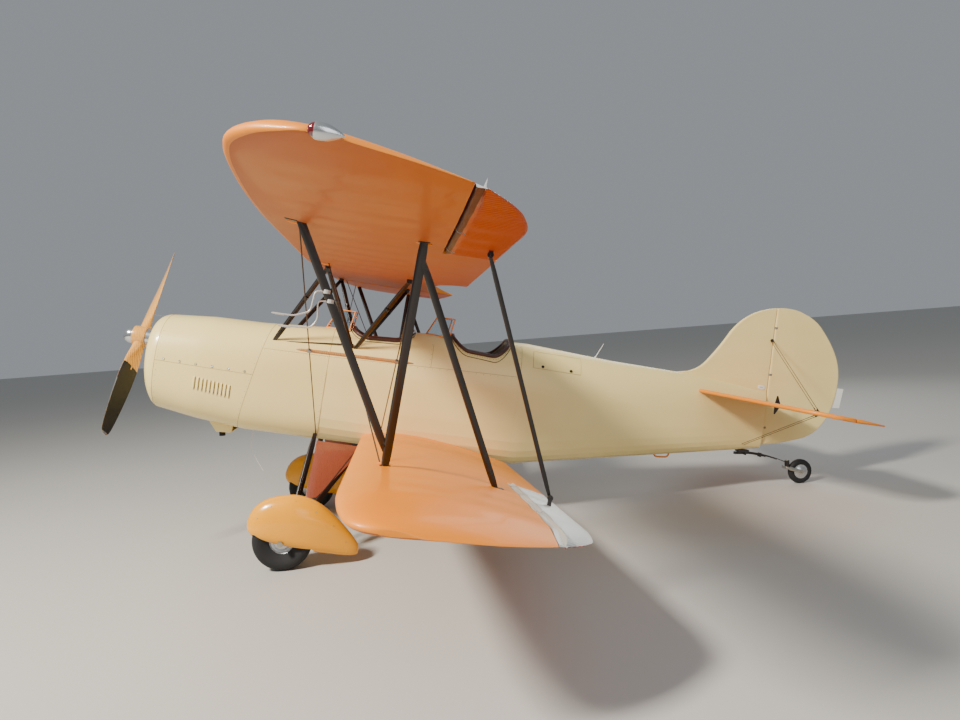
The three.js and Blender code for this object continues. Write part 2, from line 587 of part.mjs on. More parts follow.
// The whole panel in the aircraft's frame, moved up or down a little, for trimming the struts that meet it
const panelInPlace = (wing, side, lift) =>
  shifted(moved(onSide(wingSolid(wing), side), panelGroup(wing, side).matrix), 0, 0, lift);

const AILERON_BRACKETS = [0.12, 0.8]; // of the aileron's straight length
// Where the rod between the ailerons takes hold: aft of the hinge, above or below the chord line.
// The rod's pin is a close fit in the lower ear and has play in the upper one.
const LINK = {
  lower: { x: 138, y: 2450, z: 60, play: 2 },
  upper: { x: 188, y: 2750, z: -30, play: 16 },
  pin: 8,
  ear: 10,
  earRadius: 17,
};

function makePanel(wing, side, earRow) {
  const hingeX = wing.chord * wing.hinge;
  const inboard = wing.aileron - wing.root;
  const whole = wingSolid(wing);
  const outEnd = wing.tip - wing.root + 50;
  const bay = box(hingeX - AILERON_NOSE - CLEAR, 2000, inboard - CLEAR, outEnd, -300, 300);
  const straightLength = wing.straight - wing.aileron;
  const spots = AILERON_BRACKETS.map((t) => inboard + straightLength * t);
  let panel = cut(whole, bay);
  const reach = AILERON_NOSE + CLEAR + 10;
  for (const y of spots) panel = join(panel, shifted(bracket(y, reach), hingeX, 0, AILERON_NOSE_Z));

  const keep = join(
    box(hingeX, 2000, inboard, outEnd, -300, 300),
    rodY(hingeX, AILERON_NOSE_Z, inboard, outEnd, 2 * AILERON_NOSE, 16),
  );
  let aileron = shifted(whole.intersect(keep), -hingeX, 0, -AILERON_NOSE_Z);
  for (const y of spots) aileron = notchWithPin(aileron, y, 2 * AILERON_NOSE);
  // Ear for the rod that joins the two ailerons of a side
  const earY = earRow.y - wing.root;
  const earZ = earRow.z - AILERON_NOSE_Z;
  const ear = join(
    box(earRow.x - 14, earRow.x + 14, earY - 5, earY + 5, Math.min(0, earZ), Math.max(0, earZ)),
    rodY(earRow.x, earZ, earY - 5, earY + 5, 2 * LINK.earRadius),
  );
  const earHole = rodY(earRow.x, earZ, earY - 30, earY + 30, LINK.pin + earRow.play);
  aileron = cut(join(aileron, ear), earHole);
  return { panel: onSide(panel, side), aileron: onSide(aileron, side), hinge: vec(hingeX, 0, AILERON_NOSE_Z) };
}

const navLamp = (() => {
  const ring = (x, r) => Array.from({ length: 10 }, (_, k) => {
    const t = (2 * Math.PI * k) / 10;
    return vec(UPPER.chord * 0.36 + x, UPPER.tip - UPPER.root - 2 + r * Math.cos(t), 8 + r * Math.sin(t));
  });
  return loft([ring(-14, 8), ring(-4, 21), ring(14, 28), ring(44, 26), ring(74, 16), ring(100, 3)]);
})();

for (const [name, side] of SIDES) {
  const upperGroup = panelGroup(UPPER, side);
  const lowerGroup = panelGroup(LOWER, side);
  aircraft.add(upperGroup, lowerGroup);

  const upper = makePanel(UPPER, side, LINK.upper);
  add(`upper_wing_${name}`, join(upper.panel, onSide(navLamp, side)), orange, upperGroup);
  add(`upper_aileron_${name}`, upper.aileron, orange, upperGroup, upper.hinge);

  const lower = makePanel(LOWER, side, LINK.lower);
  const sideOfHull = moved(hullAndTouch, lowerGroup.matrix.clone().invert());
  add(`lower_wing_${name}`, cut(lower.panel, sideOfHull), orange, lowerGroup);
  add(`lower_aileron_${name}`, lower.aileron, orange, lowerGroup, lower.hinge);
}

// Upper centre section with its cut-out over the front seat
{
  const half = UPPER.root - TOUCH;
  const span = loft([wingRing({ ...UPPER }, -UPPER.root - half), wingRing({ ...UPPER }, -TOUCH)]);
  const notch = new THREE.Shape();
  notch.moveTo(1310, -730);
  notch.quadraticCurveTo(1115, -640, 1115, -450);
  notch.quadraticCurveTo(1010, -200, 1010, 0);
  notch.quadraticCurveTo(1010, 200, 1115, 450);
  notch.quadraticCurveTo(1115, 640, 1310, 730);
  notch.lineTo(1500, 730);
  notch.lineTo(1500, -730);
  const centre = cut(shifted(span, 0, UPPER.root, 0), slab(notch, -300, 300));
  add("centre_section", centre, orange, aircraft, vec(UPPER.x, 0, UPPER.z), [0, rad(WING_INCIDENCE), 0]);
}

// Pitot and static tubes: two J-shaped tubes clamped to the port front strut, pointing forward.
// Each row is x and z of a bend; the tube starts in the strut at the first height.
const PITOT = [
  [[1750, 544], [1695, 540], [1685, 430], [1607, 396], [1498, 393]],
  [[1758, 498], [1713, 491], [1727, 395], [1698, 347], [1537, 334]],
];
function pitot(onStrut) {
  return join(...PITOT.map(([start, ...bends]) => {
    const first = onStrut(start[1]);
    const points = [first, ...bends.map(([x, z]) => vec(x, first.y - 16, z))];
    const pieces = bends.map((_, i) => {
      const on = points[i + 1].clone().sub(points[i]).normalize();
      return rod(points[i], points[i + 1].clone().addScaledVector(on, 3), 10, 6);
    });
    return join(...pieces);
  }));
}

// Struts and wires of each wing bay
const FRONT_SPAR = 0.12;
const LOWER_FRONT_SPAR = 0.168;
const LOWER_REAR_SPAR = 0.695;
const UPPER_REAR_SPAR = 0.675;
const BAY = { lower: 2430, upper: 2720 };
for (const [name, side] of SIDES) {
  const belowUpper = panelInPlace(UPPER, side, -TOUCH);
  const aboveLower = panelInPlace(LOWER, side, TOUCH);
  const lowFront = onPanel(LOWER, side, LOWER_FRONT_SPAR, BAY.lower, 30);
  const lowRear = onPanel(LOWER, side, LOWER_REAR_SPAR, BAY.lower - 20, 25);
  const highFront = onPanel(UPPER, side, FRONT_SPAR + 0.04, BAY.upper, 30);
  const highRear = onPanel(UPPER, side, UPPER_REAR_SPAR, BAY.upper, 30);
  const along = (a, b, t) => a.clone().lerp(b, t);
  const frontFoot = along(lowFront, highRear, 0.09);
  const members = join(
    strut(lowFront, highRear, 50, 24),
    strut(frontFoot, highFront, 46, 22),
    strut(lowRear, along(lowFront, highRear, 0.9), 40, 22),
  );
  const trimmed = cut(members, belowUpper, aboveLower);
  const tubes = side > 0 ? null : pitot((height) => {
    return along(frontFoot, highFront, (height - frontFoot.z) / (highFront.z - frontFoot.z));
  });
  add(`interplane_${name}`, tubes ? join(trimmed, tubes) : trimmed, darkPaint);

  // Wires: two flying wires up to the outer bay, one landing wire down to it, tied by a wooden spacer rod
  const frontRoot = vec(1605, side * 290, -570);
  const rearRoot = vec(2130, side * 345, -510);
  const highInner = onPanel(UPPER, side, 0.15, 850, 20);
  const flyTop = [0.17, UPPER_REAR_SPAR].map((fraction) => onPanel(UPPER, side, fraction, BAY.upper - 60, 20));
  const landFoot = onPanel(LOWER, side, LOWER_FRONT_SPAR, BAY.lower - 60, 20);
  // The spacer rod lies where the landing wire passes through the plane of the flying wires
  const flySlope = (flyTop[0].z - frontRoot.z) / (flyTop[0].y - frontRoot.y);
  const landSlope = (highInner.z - landFoot.z) / (highInner.y - landFoot.y);
  const crossY = (highInner.z - landSlope * highInner.y - frontRoot.z + flySlope * frontRoot.y) / (flySlope - landSlope);
  const crossing = (crossY - frontRoot.y) / (flyTop[0].y - frontRoot.y);
  const [tieFront, tieRear] = [along(frontRoot, flyTop[0], crossing), along(rearRoot, flyTop[1], crossing)];
  const wireBody = join(
    rod(frontRoot, flyTop[0], 8),
    rod(rearRoot, flyTop[1], 8),
    rod(highInner, landFoot, 8),
    rod(along(tieFront, tieRear, -0.15), along(tieFront, tieRear, 1.2), 24, 10),
  );
  add(`wires_${name}`, cut(wireBody, belowUpper, aboveLower, hullAndTouch), steel);

  // Cabane: a three-member frame from the top longeron to the centre section
  const footFront = vec(1140, side * 330, 130);
  const footRear = vec(1800, side * 330, 170);
  const [topFront, topRear] = [vec(1530, side * 690, 802), vec(2170, side * 690, 796)];
  const cabane = join(
    rod(topFront.clone().add(vec(0, 0, -12)), topFront.clone().add(vec(0, 0, 40)), 44, 12),
    rod(topRear.clone().add(vec(0, 0, -12)), topRear.clone().add(vec(0, 0, 40)), 44, 12),
    strut(footFront, topFront, 40, 22),
    strut(footRear, topFront, 40, 22),
    strut(footRear, topRear, 40, 22),
  );
  const centreBelow = shifted(centreBlock(), 0, 0, -TOUCH);
  add(`cabane_${name}`, cut(cabane, centreBelow, hullAndTouch), darkPaint);

  // Rod between the ailerons, pinned to the lower one; its upper eye runs loose in the upper ear
  const lowPin = vec(LINK.lower.x + LOWER.chord * LOWER.hinge, side * (LINK.lower.y - LOWER.root), LINK.lower.z)
    .applyMatrix4(panelGroup(LOWER, side).matrix);
  const highPin = vec(LINK.upper.x + UPPER.chord * UPPER.hinge, side * (LINK.upper.y - UPPER.root), LINK.upper.z)
    .applyMatrix4(panelGroup(UPPER, side).matrix);
  const offset = -side * (LINK.ear / 2 + 12);
  const low = lowPin.clone().add(vec(0, offset, 0));
  const high = highPin.clone().add(vec(0, offset, 0));
  const up = high.clone().sub(low).normalize();
  const linkRod = join(
    strut(low.clone().addScaledVector(up, -12), high.clone().addScaledVector(up, 12), 26, 12),
    rod(low, lowPin.clone().add(vec(0, side * LINK.ear, 0)), LINK.pin, 12),
    rod(high, highPin.clone().add(vec(0, side * LINK.ear, 0)), LINK.pin, 12),
  );
  add(`aileron_link_${name}`, shifted(linkRod, -lowPin.x, -lowPin.y, -lowPin.z), darkPaint, aircraft, lowPin);
}

function centreBlock() {
  const flat = { ...UPPER };
  const span = loft([wingRing(flat, -UPPER.root * 2), wingRing(flat, 0)]);
  const matrix = new THREE.Matrix4().makeRotationY(rad(WING_INCIDENCE));
  matrix.setPosition(UPPER.x, 0, UPPER.z);
  return moved(shifted(span, 0, UPPER.root, 0), matrix);
}

// Main gear: two legs and the axle each side, a plywood panel between the legs, a wheel in a spat
{
  // x, half width, top, bottom of the spat
  const SPAT = [
    [1264, 12, -1176, -1206],
    [1276, 46, -1122, -1240],
    [1310, 82, -1060, -1274],
    [1380, 106, -1000, -1302],
    [1500, 118, -955, -1320],
    [1616, 120, -941, -1330],
    [1760, 108, -974, -1336],
    [1900, 84, -1060, -1338],
    [2000, 62, -1143, -1340],
    [2064, 44, -1205, -1338],
    [2100, 26, -1248, -1328],
    [2112, 8, -1282, -1310],
  ];
  const spatRing = ([x, half, top, bottom], inset) => Array.from({ length: 16 }, (_, k) => {
    const t = (2 * Math.PI * (k + 0.5)) / 16;
    const [c, s] = [Math.cos(t), Math.sin(t)];
    const power = s > 0 ? 0.9 : 0.6;
    const middle = bottom + 0.35 * (top - bottom);
    const reach = (s > 0 ? top - middle : middle - bottom) - inset;
    return vec(x, (half - inset) * Math.sign(c) * Math.abs(c) ** power, middle + reach * Math.sign(s) * Math.abs(s) ** power);
  });
  const shell = cut(
    loft(SPAT.map((row) => spatRing(row, 0))),
    loft([1, 2, 3, 5, 7, 9].map((row) => spatRing(SPAT[row], 6))),
    box(1318, 1790, -92, 92, -1500, -1240),
  );
  const half = WHEEL_TRACK / 2;
  const spat = cut(shell, rodY(WHEEL_X, WHEEL_Z, -200, 200, AXLE + 2 * TOUCH));

  const tyreHalf = TYRE_WIDTH / 2;
  const tyre = turned([
    [92, -50], [135, -64], [184, -tyreHalf], [213, -52], [WHEEL_RADIUS, -18], [WHEEL_RADIUS, 18],
    [213, 52], [184, tyreHalf], [135, 64], [92, 50], [92, -50],
  ], 24);
  const bore = AXLE / 2 + TOUCH;
  const rim = 92 - TOUCH;
  const hub = turned([
    [bore, -58], [60, -58], [66, -30], [rim, -48], [rim, 48], [66, 30], [60, 58], [bore, 58], [bore, -58],
  ], 24);

  for (const [name, side] of SIDES) {
    const y = side * half;
    const axleIn = y - side * 150;
    const top = [vec(1600, side * 320, -560), vec(2015, side * 300, -575)];
    const foot = vec(WHEEL_X + 20, axleIn, WHEEL_Z + 20);
    const rearJoin = vec(1720, side * 770, -1040);
    const legs = (grow) => join(
      strut(top[0], foot, 48 + grow, 40 + grow),
      strut(top[1], rearJoin, 44 + grow, 36 + grow),
      strut(vec(1745, side * 760, -1020), foot, 44 + grow, 36 + grow),
      rod(foot, vec(WHEEL_X, axleIn + side * 20, WHEEL_Z), 54, 12),
      rodY(WHEEL_X, WHEEL_Z, axleIn, y + side * 134, AXLE),
    );
    add(`gear_leg_${name}`, cut(legs(0), hullAndTouch), darkPaint);
    add(`spat_${name}`, shifted(spat, 0, y, 0), yellow);
    add(`tyre_${name}`, tyre, tyreRubber, aircraft, vec(WHEEL_X, y, WHEEL_Z));
    add(`wheel_hub_${name}`, hub, aluminium, aircraft, vec(WHEEL_X, y, WHEEL_Z));

    // Plywood panel filling the triangle between the legs
    const corners = [vec(1625, 352, -610), vec(2030, 352, -610), vec(1722, 735, -990), vec(1640, 735, -1010)];
    const normal = vec(0, 0.7, 0.7);
    const face = (lift) => corners.map((p) => vec(p.x, p.y, p.z).addScaledVector(normal, lift));
    const panel = onSide(loft([face(-6), face(6)]), side);
    add(`gear_panel_${name}`, cut(panel, hullAndTouch, legs(2 * TOUCH)), mahogany);
  }
}

// Tail wheel: leaf spring, castoring fork and wheel
{
  const upright = vec(-Math.sin(rad(ATTITUDE)), 0, Math.cos(rad(ATTITUDE)));
  const pivot = vec(TAIL_WHEEL_X - 140, 0, -240);
  const at = (height) => pivot.clone().addScaledVector(upright, height);
  const spring = new THREE.Shape();
  spring.moveTo(5430, -205);
  spring.lineTo(5560, -183);
  spring.quadraticCurveTo(5760, -178, 5962, -232);
  spring.lineTo(5962, -250);
  spring.quadraticCurveTo(5760, -200, 5560, -206);
  spring.lineTo(5440, -226);
  const leaf = plate(spring, -22, 22);
  const boss = rod(at(-26), at(26), 44, 12);
  const bolt = rod(at(-80), at(80), 20 + 2 * TOUCH, 20);
  const seat = cut(box(5440, 5560, -22, 22, -215, -120), hullAndTouch);
  add("tail_spring", cut(join(leaf, seat, boss), bolt, hullAndTouch), darkPaint);

  const down = at(-38);
  const axle = vec(TAIL_WHEEL_X, 0, TAIL_WHEEL_Z);
  const arm = (y) => strut(vec(down.x, y, down.z - 6), vec(axle.x, y, axle.z), 34, 8, vec(0, 0, 1));
  const crown = box(down.x - 30, down.x + 5, -46, 46, down.z - 18, down.z + 6);
  const fork = join(
    crown,
    rod(at(-40), at(34), 20, 20),
    rod(at(26.4), at(34), 36, 12),
    arm(-42),
    arm(42),
    rodY(axle.x, axle.z, -52, 52, 16),
  );
  add("tail_fork", shifted(fork, -pivot.x, -pivot.y, -pivot.z), steel, aircraft, pivot);
  const tailWheel = turned([
    [8 + TOUCH, -30], [100, -26], [TAIL_WHEEL_RADIUS, -10], [TAIL_WHEEL_RADIUS, 10],
    [100, 26], [8 + TOUCH, 30], [8 + TOUCH, -30],
  ], 24);
  add("tail_wheel", tailWheel, tyreRubber, aircraft, axle);
}

// Tail bracing: fin to tailplane to sternpost, on a bolt through the tailplane
for (const [name, side] of SIDES) {
  const bolt = (z) => vec(TAIL_WIRE.x, side * TAIL_WIRE.y, z).applyMatrix4(tailplane.matrix);
  const wires = join(
    rod(bolt(-34), bolt(34), TAIL_WIRE.bolt, 12),
    rod(bolt(28), vec(5600, side * 10, 880), 6),
    rod(bolt(-28), vec(5470, 0, -140), 6),
    rodY(5600, 880, side * 18, side * 24, 30, 12),
  );
  const finSide = box(4700, 5700, -TAIL_NOSE - TOUCH, TAIL_NOSE + TOUCH, 400, 1200);
  add(`tail_wires_${name}`, cut(wires, finSide, hullAndTouch), steel);
}

export default parked;
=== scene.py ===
from math import asin, atan2, copysign, cos, hypot, pi, radians, sin, sqrt, tan

import bmesh
import bpy
from mathutils import Matrix, Vector


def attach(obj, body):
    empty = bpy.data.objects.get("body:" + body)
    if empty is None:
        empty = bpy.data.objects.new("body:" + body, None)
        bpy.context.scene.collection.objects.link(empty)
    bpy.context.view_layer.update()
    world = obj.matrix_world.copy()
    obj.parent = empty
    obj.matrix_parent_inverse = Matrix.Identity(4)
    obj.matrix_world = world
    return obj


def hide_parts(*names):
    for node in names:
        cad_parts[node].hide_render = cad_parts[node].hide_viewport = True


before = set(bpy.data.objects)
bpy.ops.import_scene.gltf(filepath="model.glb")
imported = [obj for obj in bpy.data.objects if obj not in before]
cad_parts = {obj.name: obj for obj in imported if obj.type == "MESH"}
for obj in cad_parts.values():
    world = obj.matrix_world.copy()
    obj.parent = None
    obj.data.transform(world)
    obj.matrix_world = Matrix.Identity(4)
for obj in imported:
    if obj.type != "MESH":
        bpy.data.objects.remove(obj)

scene = bpy.context.scene
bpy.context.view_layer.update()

# Camera, floor and light: the camera stands at a standing eye's height ahead of the port wing tips,
# and everything on the aircraft is placed from the propeller hub, with x aft along the thrust line.
BODY = Matrix.Translation((-3.08901, 0, 1.84)) @ Matrix.Rotation(radians(13.6), 4, "Y")

heading, tilt, roll = radians(6.30), radians(-2.87), radians(4.2)
ahead = Vector((sin(heading) * cos(tilt), cos(heading) * cos(tilt), sin(tilt)))
level = Vector((cos(heading), -sin(heading), 0))
above = level.cross(ahead)
across = level * cos(roll) - above * sin(roll)
upright = above * cos(roll) + level * sin(roll)
camera = bpy.data.objects.new("camera", bpy.data.cameras.new("camera"))
camera.data.lens = 27
camera.data.sensor_width = 36
facing = Matrix((across, upright, -ahead)).transposed().to_4x4()
camera.matrix_world = Matrix.Translation((-0.911, -6.425, 1.735)) @ facing
scene.collection.objects.link(camera)
scene.camera = camera

world = bpy.data.worlds.new("studio")
scene.world = world
world.use_nodes = True
world.node_tree.nodes["Background"].inputs["Color"].default_value = (0.87, 0.93, 1, 1)
world.node_tree.nodes["Background"].inputs["Strength"].default_value = 0.32


def lamp(name, place, aim, power, width, colour):
    light = bpy.data.lights.new(name, "AREA")
    light.energy = power
    light.size = width
    light.color = colour
    obj = bpy.data.objects.new(name, light)
    facing = (Vector(place) - Vector(aim)).to_track_quat("Z", "Y").to_matrix().to_4x4()
    obj.matrix_world = Matrix.Translation(place) @ facing
    scene.collection.objects.link(obj)


lamp("key", (-7.5, -5.5, 8.5), (-0.5, -0.8, 1.2), 2500, 1.6, (1, 0.94, 0.84))
lamp("fill", (2.5, -10, 4.5), (0, 0, 1.2), 260, 6, (0.95, 0.97, 1))
lamp("back", (5, 7, 6), (0.5, 0, 1.2), 220, 5, (0.95, 0.97, 1))


def linear(hexcode):
    """A colour as a painter's chart gives it, made linear for the shader."""
    parts = [int(hexcode[i:i + 2], 16) / 255 for i in (1, 3, 5)]
    return tuple(p / 12.92 if p <= 0.04045 else ((p + 0.055) / 1.055) ** 2.4 for p in parts) + (1,)


def new_group(name, inputs, outputs):
    """An empty shader node group with named sockets and its two end nodes."""
    group = bpy.data.node_groups.new(name, "ShaderNodeTree")
    for label, kind, value in inputs:
        socket = group.interface.new_socket(name=label, in_out="INPUT", socket_type="NodeSocket" + kind)
        socket.default_value = value
    for label, kind in outputs:
        group.interface.new_socket(name=label, in_out="OUTPUT", socket_type="NodeSocket" + kind)
    return group, group.nodes.new("NodeGroupInput"), group.nodes.new("NodeGroupOutput")


def wire(tree, *pairs):
    for source, target in pairs:
        tree.links.new(source, target)


def add_node(tree, kind, **settings):
    """A node with its properties and its unlinked input values set by name."""
    node = tree.nodes.new("ShaderNode" + kind)
    values = settings.pop("sockets", {})
    for key, value in settings.items():
        setattr(node, key, value)
    for key, value in values.items():
        node.inputs[key].default_value = value
    return node


# Every finish shows uneven tone, a change of gloss and fine relief, so that group is built once
aged, given, made = new_group(
    "aged_surface",
    [("Paint", "Color", (0.8, 0.8, 0.8, 1)), ("Shade", "Float", 0.1), ("Patch Scale", "Float", 2.0),
     ("Base Roughness", "Float", 0.4), ("Grain Scale", "Float", 120.0), ("Relief", "Float", 0.1)],
    [("Colour", "Color"), ("Roughness", "Float"), ("Normal", "Vector")])
coords = add_node(aged, "TexCoord")
patches = add_node(aged, "TexNoise", sockets={"Detail": 5.0, "Roughness": 0.62})
grain = add_node(aged, "TexNoise", sockets={"Detail": 3.0, "Roughness": 0.6})
centred = add_node(aged, "Math", operation="SUBTRACT", sockets={1: 0.5})
amount = add_node(aged, "Math", operation="MULTIPLY")
value = add_node(aged, "Math", operation="ADD", sockets={1: 1.0})
tone = add_node(aged, "HueSaturation")
gloss_change = add_node(aged, "Math", operation="MULTIPLY_ADD", sockets={1: 0.35})
bump = add_node(aged, "Bump", sockets={"Distance": 0.002})
wire(aged,
     (coords.outputs["Object"], patches.inputs["Vector"]),
     (coords.outputs["Object"], grain.inputs["Vector"]),
     (given.outputs["Patch Scale"], patches.inputs["Scale"]),
     (given.outputs["Grain Scale"], grain.inputs["Scale"]),
     (patches.outputs["Fac"], centred.inputs[0]), (centred.outputs[0], amount.inputs[0]),
     (given.outputs["Shade"], amount.inputs[1]), (amount.outputs[0], value.inputs[0]),
     (value.outputs[0], tone.inputs["Value"]), (given.outputs["Paint"], tone.inputs["Color"]),
     (centred.outputs[0], gloss_change.inputs[0]),
     (given.outputs["Base Roughness"], gloss_change.inputs[2]),
     (grain.outputs["Fac"], bump.inputs["Height"]), (given.outputs["Relief"], bump.inputs["Strength"]),
     (tone.outputs["Color"], made.inputs["Colour"]), (gloss_change.outputs[0], made.inputs["Roughness"]),
     (bump.outputs["Normal"], made.inputs["Normal"]))


def finish(name, colour, roughness=0.4, metallic=0.0, coat=0.0, shade=0.12, patch=2.0, grain_scale=120.0,
           relief=0.08):
    """A finish of one colour, aged by the shared group."""
    material = bpy.data.materials.new(name)
    material.use_nodes = True
    tree = material.node_tree
    shader = tree.nodes["Principled BSDF"]
    shader.inputs["Metallic"].default_value = metallic
    shader.inputs["Coat Weight"].default_value = coat
    shader.inputs["Coat Roughness"].default_value = 0.08
    group = add_node(tree, "Group", node_tree=aged, sockets={
        "Paint": linear(colour), "Shade": shade, "Patch Scale": patch, "Base Roughness": roughness,
        "Grain Scale": grain_scale, "Relief": relief})
    group.name = "aged"
    wire(tree, (group.outputs["Colour"], shader.inputs["Base Color"]),
         (group.outputs["Roughness"], shader.inputs["Roughness"]),
         (group.outputs["Normal"], shader.inputs["Normal"]))
    return material


def settle(shape, name, materials, body, replaced=(), place=BODY, crease=35):
    """Put a drawn shape, or a list of them as one, in its place on the aircraft as a piece of its own."""
    bm = join_meshes(bmesh.new(), *shape) if isinstance(shape, list) else shape
    bmesh.ops.transform(bm, matrix=place, verts=bm.verts)
    bmesh.ops.remove_doubles(bm, verts=bm.verts, dist=1e-6)
    bmesh.ops.recalc_face_normals(bm, faces=bm.faces)
    mesh = bpy.data.meshes.new(name)
    bm.to_mesh(mesh)
    bm.free()
    obj = bpy.data.objects.new(name, mesh)
    scene.collection.objects.link(obj)
    for material in materials if isinstance(materials, (list, tuple)) else [materials]:
        mesh.materials.append(material)
    smooth(obj, crease)
    if body:
        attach(obj, body)
        if replaced:
            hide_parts(*([replaced] if isinstance(replaced, str) else replaced))
    return obj


def smooth(obj, crease=35):
    mesh = obj.data
    mesh.polygons.foreach_set("use_smooth", [True] * len(mesh.polygons))
    mesh.set_sharp_from_angle(angle=radians(crease))


def new_edges_of(made_geometry):
    verts = {item for item in made_geometry if isinstance(item, bmesh.types.BMVert)}
    edges = [item for item in made_geometry
             if isinstance(item, bmesh.types.BMEdge) and set(item.verts) <= verts]
    return verts, edges


def draw_out(stations, place, around, ends=True, ring_closed=False):
    """A skin drawn out ring by ring. place(station, turn) gives the point at turn 0 to 1 round each ring."""
    bm = bmesh.new()
    turn = bm.verts.layers.float.new("turn")
    along = bm.verts.layers.float.new("along")
    ring = bmesh.ops.create_circle(bm, segments=around, radius=1)["verts"]
    for i, vert in enumerate(ring):
        vert[turn] = i / around
        vert[along] = stations[0]
        vert.co = place(stations[0], vert[turn])
    first = list(bm.edges)
    last = first
    for station in stations[1:]:
        verts, last = new_edges_of(bmesh.ops.extrude_edge_only(bm, edges=last)["geom"])
        for vert in verts:
            vert[along] = station
            vert.co = place(station, vert[turn])
    if ring_closed:
        bmesh.ops.bridge_loops(bm, edges=first + last)
    elif ends:
        for loop in (first, last):
            bmesh.ops.edgeloop_fill(bm, edges=loop)
    return bm


def steps(start, stop, pitch):
    """Even stations from start to stop, about a pitch apart."""
    count = max(1, round(abs(stop - start) / pitch))
    return [start + (stop - start) * i / count for i in range(count + 1)]


def between(rows, x):
    """The values of a short table at x, eased through its rows."""
    i = max(0, min(len(rows) - 2, sum(1 for row in rows if row[0] <= x) - 1))
    before, low, high, after = (rows[max(0, min(len(rows) - 1, i + k))] for k in (-1, 0, 1, 2))
    t = (x - low[0]) / (high[0] - low[0])
    values = []
    for k in range(1, len(low)):
        span = high[0] - low[0]
        lead = (high[k] - before[k]) / (high[0] - before[0]) * span if before is not low else high[k] - low[k]
        trail = (after[k] - low[k]) / (after[0] - low[0]) * span if after is not high else high[k] - low[k]
        values.append((2 * t ** 3 - 3 * t ** 2 + 1) * low[k] + (t ** 3 - 2 * t ** 2 + t) * lead
                      + (3 * t ** 2 - 2 * t ** 3) * high[k] + (t ** 3 - t ** 2) * trail)
    return values


def join_meshes(target, *parts):
    """Bring other drawn shapes into one, so that they are one piece."""
    for part in parts:
        mesh = bpy.data.meshes.new("part")
        part.to_mesh(mesh)
        part.free()
        target.from_mesh(mesh)
        bpy.data.meshes.remove(mesh)
    return target


def scratch(bm):
    """A drawn shape as a plain object, for cutting with."""
    bmesh.ops.recalc_face_normals(bm, faces=bm.faces)
    mesh = bpy.data.meshes.new("scratch")
    for _ in range(4):
        mesh.materials.append(None)
    bm.to_mesh(mesh)
    bm.free()
    obj = bpy.data.objects.new("scratch", mesh)
    scene.collection.objects.link(obj)
    return obj


def carve(bm, cutters, keep="DIFFERENCE"):
    """Cut one drawn shape with others and give the result as a drawn shape."""
    whole = scratch(bm)
    for tool in [scratch(cutter) for cutter in cutters]:
        step = whole.modifiers.new("cut", "BOOLEAN")
        step.operation = keep
        step.solver = "MANIFOLD"
        step.object = tool
        graph = bpy.context.evaluated_depsgraph_get()
        result = bpy.data.meshes.new_from_object(whole.evaluated_get(graph))
        whole.modifiers.clear()
        whole.data = result
        bpy.data.objects.remove(tool)
    out = bmesh.new()
    out.from_mesh(whole.data)
    bpy.data.objects.remove(whole)
    return out


def block(low, high, edge=0.0, segments=2):
    """A rectangular solid between two corners, with its edges eased."""
    bm = bmesh.new()
    bmesh.ops.create_cube(bm, size=1)
    size = Vector(high) - Vector(low)
    middle = (Vector(high) + Vector(low)) / 2
    bmesh.ops.transform(bm, matrix=Matrix.Translation(middle) @ Matrix.Diagonal((*size, 1)), verts=bm.verts)
    if edge:
        bmesh.ops.bevel(bm, geom=bm.edges[:], offset=edge, segments=segments, profile=0.5, affect="EDGES",
                        material=-1)
    return bm


def framed(a, b, towards=(1, 0, 0)):
    """Axis and two cross directions of a member from a to b, the first held towards a given direction."""
    axis = (Vector(b) - Vector(a)).normalized()
    wide = (Vector(towards) - axis * Vector(towards).dot(axis)).normalized()
    return axis, wide, axis.cross(wide)


def rod(a, b, radius, around=16, towards=(0.3, 0.8, 0.5), profile=None):
    """A round member; profile lists the distance from a and the radius where it changes."""
    a, b = Vector(a), Vector(b)
    axis, wide, thin = framed(a, b, towards)
    length = (b - a).length
    rows = profile or [(0, radius), (length, radius)]

    def point(i, turn):
        reach, r = rows[int(i)]
        return a + axis * reach + (wide * cos(2 * pi * turn) + thin * sin(2 * pi * turn)) * r
    return draw_out(range(len(rows)), point, around)


def tube(path, radius, around=10, closed=False, lift=(0, 0, 1)):
    """A round tube along a path of points; radius may be one value or one for each point."""
    points = [Vector(p) for p in path]
    radii = radius if isinstance(radius, (list, tuple)) else [radius] * len(points)
    count = len(points)

    def point(i, turn):
        i = int(i)
        after = points[(i + 1) % count] if closed or i < count - 1 else points[i]
        before = points[i - 1] if closed or i > 0 else points[i]
        axis = (after - before).normalized()
        side = axis.cross(Vector(lift)).normalized()
        up_way = side.cross(axis)
        return points[i] + (side * cos(2 * pi * turn) + up_way * sin(2 * pi * turn)) * radii[i]
    return draw_out(range(count), point, around, ring_closed=closed)


def turned(rows, steps_round=48, axis="Y", centre=(0, 0, 0)):
    """A turned shape: rows of radius and place along the axis, spun a full turn."""
    bm = bmesh.new()
    verts = [bm.verts.new((r, y, 0)) for r, y in rows]
    edges = [bm.edges.new(pair) for pair in zip(verts, verts[1:])]
    bmesh.ops.spin(bm, geom=verts + edges, cent=(0, 0, 0), axis=(0, 1, 0), angle=2 * pi, steps=steps_round,
                   use_merge=True)
    bmesh.ops.remove_doubles(bm, verts=bm.verts, dist=1e-6)
    turn = Matrix.Rotation(-pi / 2, 4, "Z") if axis == "X" else Matrix()
    bmesh.ops.transform(bm, matrix=Matrix.Translation(centre) @ turn, verts=bm.verts)
    return bm


ground = bmesh.new()
bmesh.ops.create_grid(ground, x_segments=1, y_segments=1, size=60)
floor = settle(ground, "floor", finish("pale_floor", "#bab8b2", 0.8, shade=0.05, patch=0.4, relief=0.02),
               None, place=Matrix())

